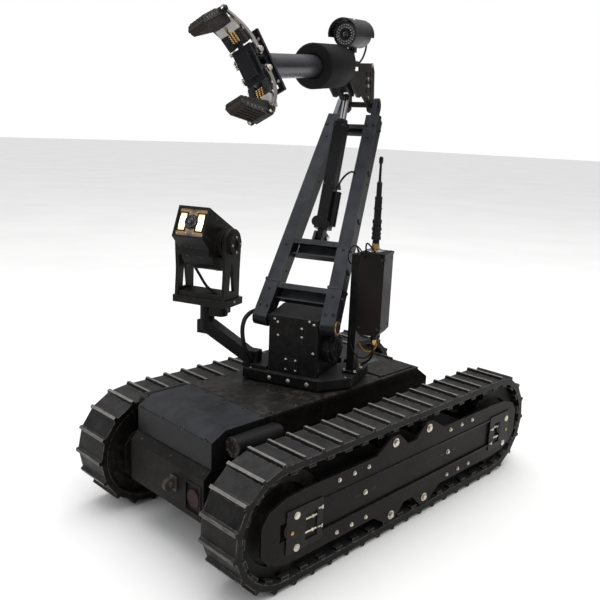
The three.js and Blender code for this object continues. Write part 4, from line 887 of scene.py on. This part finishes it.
# ---- gripper
PALM = ["gripper_body"]
entries = [("hex", (-60, y, z), AHEAD, 4.0, 3.2) for y in (-22, 22) for z in (-38, 38)]
entries += [("cap", (200, y, z), BACK, 3.2, 2.4) for y in (-24, 24) for z in (-48, 48)]
fasten("gripper_screws", "gripper", "zinc", GRIPPER, PALM, entries, 0.15)
gears = Part(GRIPPER)
for z in (-21, 21):
    gears.gear(15.5, 6.5, 26, at(40, -9.5, z, FACE_Y))
    gears.gear(15.5, 3.0, 26, at(40, 3.5, z, FACE_Y))
    gears.lathe(rod(8.4, 20), at(40, -11, z, FACE_Y), 20)
worm = [(5.2 if i % 2 else 3.8, i * 1.4) for i in range(26)]
gears.lathe([(0, 0)] + worm + [(0, 35)], at(18, 0, 0, FACE_X), 20)
gears.done("gripper_gears", "gripper", "brass", 0.1)
pins = Part(GRIPPER)
for z in (-21, 21):
    for sign in (1, -1):
        pins.hex_bolt(at(40, 33.4 * sign, z, OUTWARD[sign]), 5.4, 3.6)
pins.done("finger_pivot_bolts", "gripper", "zinc", 0.2)
for side, label in ((1, "upper"), (-1, "lower")):
    finger, jaw = f"finger_{'up' if side > 0 else 'low'}", f"jaw_{'up' if side > 0 else 'low'}"
    lean = FINGER[side] @ turn("Y", 22 * side)
    blocks = Part(lean)
    for y0, y1 in ((-24, -4), (3, 24)):
        blocks.prism([(-11, 58 * side), (11, 58 * side), (14, 62 * side), (14, 84 * side), (-8, 86 * side),
            (-11, 82 * side)], y0, y1, turn("X", 90) @ Matrix.Diagonal((1, 1, -1, 1)))
    blocks.done(f"finger_blocks_{label}", finger, "nylon", 1.2)
    boxes = Part(lean)
    for y0, y1 in ((-24.4, -8), (13, 24.4)):
        low, high = sorted((27 * side, 59 * side))
        boxes.box(-13, 13, y0, y1, low, high)
        boxes.box(-15, 15, y0 + 3, y1 - 3, *sorted((34 * side, 50 * side)))
    boxes.done(f"finger_carriers_{label}", finger, "gripper_black", 0.9)
    racks = Part(lean)
    for y in (-5.5, 1.5, 8.5):
        low, high = sorted((37 * side, 68 * side))
        racks.box(-9, 9, y - 1.6, y + 1.6, low, high)
        for i in range(6):
            racks.box(8.6, 11.4, y - 1.6, y + 1.6, *sorted(((39 + i * 4.6) * side, (41.4 + i * 4.6) * side)))
    racks.done(f"finger_racks_{label}", finger, "brass", 0.3)
    bolts = Part(JAW[side])
    for sign in (1, -1):
        bolts.lathe([(0, 0), (6, 0), (6, 1.4), (5.4, 1.8), (0, 1.8)], at(0, 30.1 * sign, 0, OUTWARD[sign]), 20)
        bolts.lathe([(0, 0), (4.6, 0), (4.6, 3.2), (3.4, 4.4), (0, 4.4)], at(0, 29.6 * sign, 0, OUTWARD[sign]),
            6)
    bolts.done(f"jaw_bolts_{label}", jaw, "black_screw", 0.15)
    strips = Part(JAW[side])
    for y in (-15.5, -7.8, 0, 7.8, 15.5):
        strips.prism([(10, 5), (14, 10.2), (76, 10.2), (86, 5.6), (86, 3)], y - 2.3, y + 2.3,
            Matrix.Diagonal((1, 1, side, 1)) @ turn("X", 90) @ Matrix.Diagonal((1, 1, -1, 1)))
    strips.done(f"jaw_strips_{label}", jaw, "pad_rubber", 0.7)
    lights = Part(JAW[side])
    for i in range(5):
        for y in (-21.2, 20.4):
            lights.box(22.6 + i * 12, 26.4 + i * 12, y, y + 0.8, *sorted((-0.4 * side, 4.4 * side)))
    lights.done(f"jaw_slots_{label}", jaw, "blank_plate", 0.0)
studs = Part(GRIPPER)
for z in (-44, -14, 14, 44):
    studs.lathe([(0, 0), (2.6, 0), (2.6, 12), (4.2, 12.2), (4.2, 15.4), (3.6, 16), (0, 16)],
        at(36, -24, z, FACE_Y_NEG), 14)
studs.done("gripper_studs", "gripper", "zinc", 0.2)

# ---- bullet camera
SHELL = ["bullet_camera", "camera_hood"]
LENS_AXIS = (15, 39)
turned("camera_face", "camera", "lens_glass", "lens_glass", BULLET, 0.0,
    (rod(27.6, 1.2), at(52.8, *LENS_AXIS, FACE_X), 40))
leds = Part(BULLET)
for count, radius, size in ((22, 24.0, 2.2), (16, 18.2, 2.2)):
    for i in range(count):
        angle = 2 * math.pi * (i + 0.5 * (count == 16)) / count
        leds.lathe([(0, 0), (size, 0), (size, 1.4), (size * 0.72, 2.3), (0, 2.7)],
            at(53.7, LENS_AXIS[0] + radius * math.cos(angle), LENS_AXIS[1] + radius * math.sin(angle), FACE_X),
            12)
leds.done("camera_leds", "camera", "led_clear", 0.0)
turned("camera_lens_ring", "camera", "motor_black", "camera_shell", BULLET, 0.15,
    ([(9.2, 0), (14.2, 0), (14.2, 3), (13.2, 3.8), (10, 3.8), (9.2, 2.4), (9.2, 0)],
    at(53.8, *LENS_AXIS, FACE_X), 36))
turned("camera_lens", "camera", "lens_glass", "lens_glass", BULLET, 0.0,
    ([(0, 0), (9.4, 0), (8.6, 1.6), (6, 2.8), (3, 3.4), (0, 3.6)], at(53.8, *LENS_AXIS, FACE_X), 30))
turned("camera_rim", "camera", "bracket_metal", "camera_shell", BULLET, 0.2,
    ([(27.8, 0), (32.4, 0), (32.8, 0.8), (32.6, 3), (31.4, 3.6), (28.4, 2.6), (27.8, 0)],
    at(54.8, *LENS_AXIS, FACE_X), 44))
fasten("hood_screws", "camera", "zinc", BULLET, SHELL,
    [axis_screw(x, *LENS_AXIS, angle, 90, 3.0, 1.8) for x in (-50, 45) for angle in (60, 120)], 0.15)
turned("camera_gland", "camera", "bracket_metal", "camera_shell", BULLET, 0.3,
    (rod(9, 6), at(-67.6, *LENS_AXIS, FACE_X_NEG), 6),
    ([(0, 0), (6, 0), (6.4, 3), (5, 9), (0, 9)], at(-73, *LENS_AXIS, FACE_X_NEG), 18))
cable("camera_pigtail", FOREARM, [(-313, 15, 80), (-324, 15, 79), (-337, 14, 72), (-345, 12, 58), (-346, 9, 42),
    (-338, 5, 24), (-322, 2, 11), (-302, 0, 6), (-282, 0, 5), (-267, 0, 5)], 5.5, "camera")


# ---- floor and light
FLOOR_REACH, FLOOR_GAP = 45.0, 0.0015
DOME_BASE, DOME_GAIN = 0.10, 1.5          # sky brightness at the horizon, and what the zenith adds


def stage_plane():
    mesh = bpy.data.meshes.new("floor")
    reach = FLOOR_REACH
    mesh.from_pydata([(-reach, -reach, 0), (reach, -reach, 0), (reach, reach, 0), (-reach, reach, 0)], [],
        [(0, 1, 2, 3)])
    floor = new_object("floor", mesh)
    floor.location.z = -FLOOR_GAP
    material, tree, shader = new_material("floor_pale")
    tone = remap(tree, noise(tree, object_coords(tree), 1.2, 3.0), 0.3, 0.7)
    colour = mix_colour(tree, tone, (0.90, 0.90, 0.90), (0.94, 0.94, 0.94))
    put(tree, colour, shader.inputs["Base Color"])
    put(tree, 0.75, shader.inputs["Roughness"])
    mesh.materials.append(material)


def area_light(name, place, target, size, power, colour=(1, 1, 1)):
    data = bpy.data.lights.new(name, "AREA")
    data.shape = "RECTANGLE"
    data.size = size[0]
    data.size_y = size[1]
    data.energy = power
    data.color = colour
    light = new_object(name, data)
    light.location = place
    direction = Vector(target) - Vector(place)
    light.rotation_euler = direction.to_track_quat("-Z", "Y").to_euler()


stage_plane()
area_light("key", (-0.8, 0.8, 6.0), (-0.8, 0.6, 0.0), (7.0, 7.0), 200, (1.0, 0.99, 0.98))
area_light("front", (3.2, -1.6, 2.0), (0.2, 0, 0.4), (1.6, 1.2), 18, (0.95, 0.97, 1.0))
area_light("side", (1.2, 3.6, 1.4), (0, 0.2, 0.3), (2.0, 1.0), 7, (1.0, 0.97, 0.94))
world = bpy.data.worlds.new("studio")
world.use_nodes = True
sky = world.node_tree
background = sky.nodes["Background"]
put(sky, (1, 1, 1), background.inputs["Color"])
seen = add(sky, "LightPath", {}).outputs["Is Camera Ray"]
ray = add(sky, "SeparateXYZ", {0: add(sky, "TexCoord", {}).outputs["Generated"]})
height = math_node(sky, "MAXIMUM", ray.outputs["Z"], 0.0)
dome = math_node(sky, "MULTIPLY_ADD", times(sky, height, height), DOME_GAIN, DOME_BASE)
unseen = times(sky, dome, math_node(sky, "SUBTRACT", 1.0, seen))
put(sky, math_node(sky, "ADD", unseen, seen), background.inputs["Strength"])
bpy.context.scene.world = world
bpy.context.scene.view_settings.view_transform = "Standard"
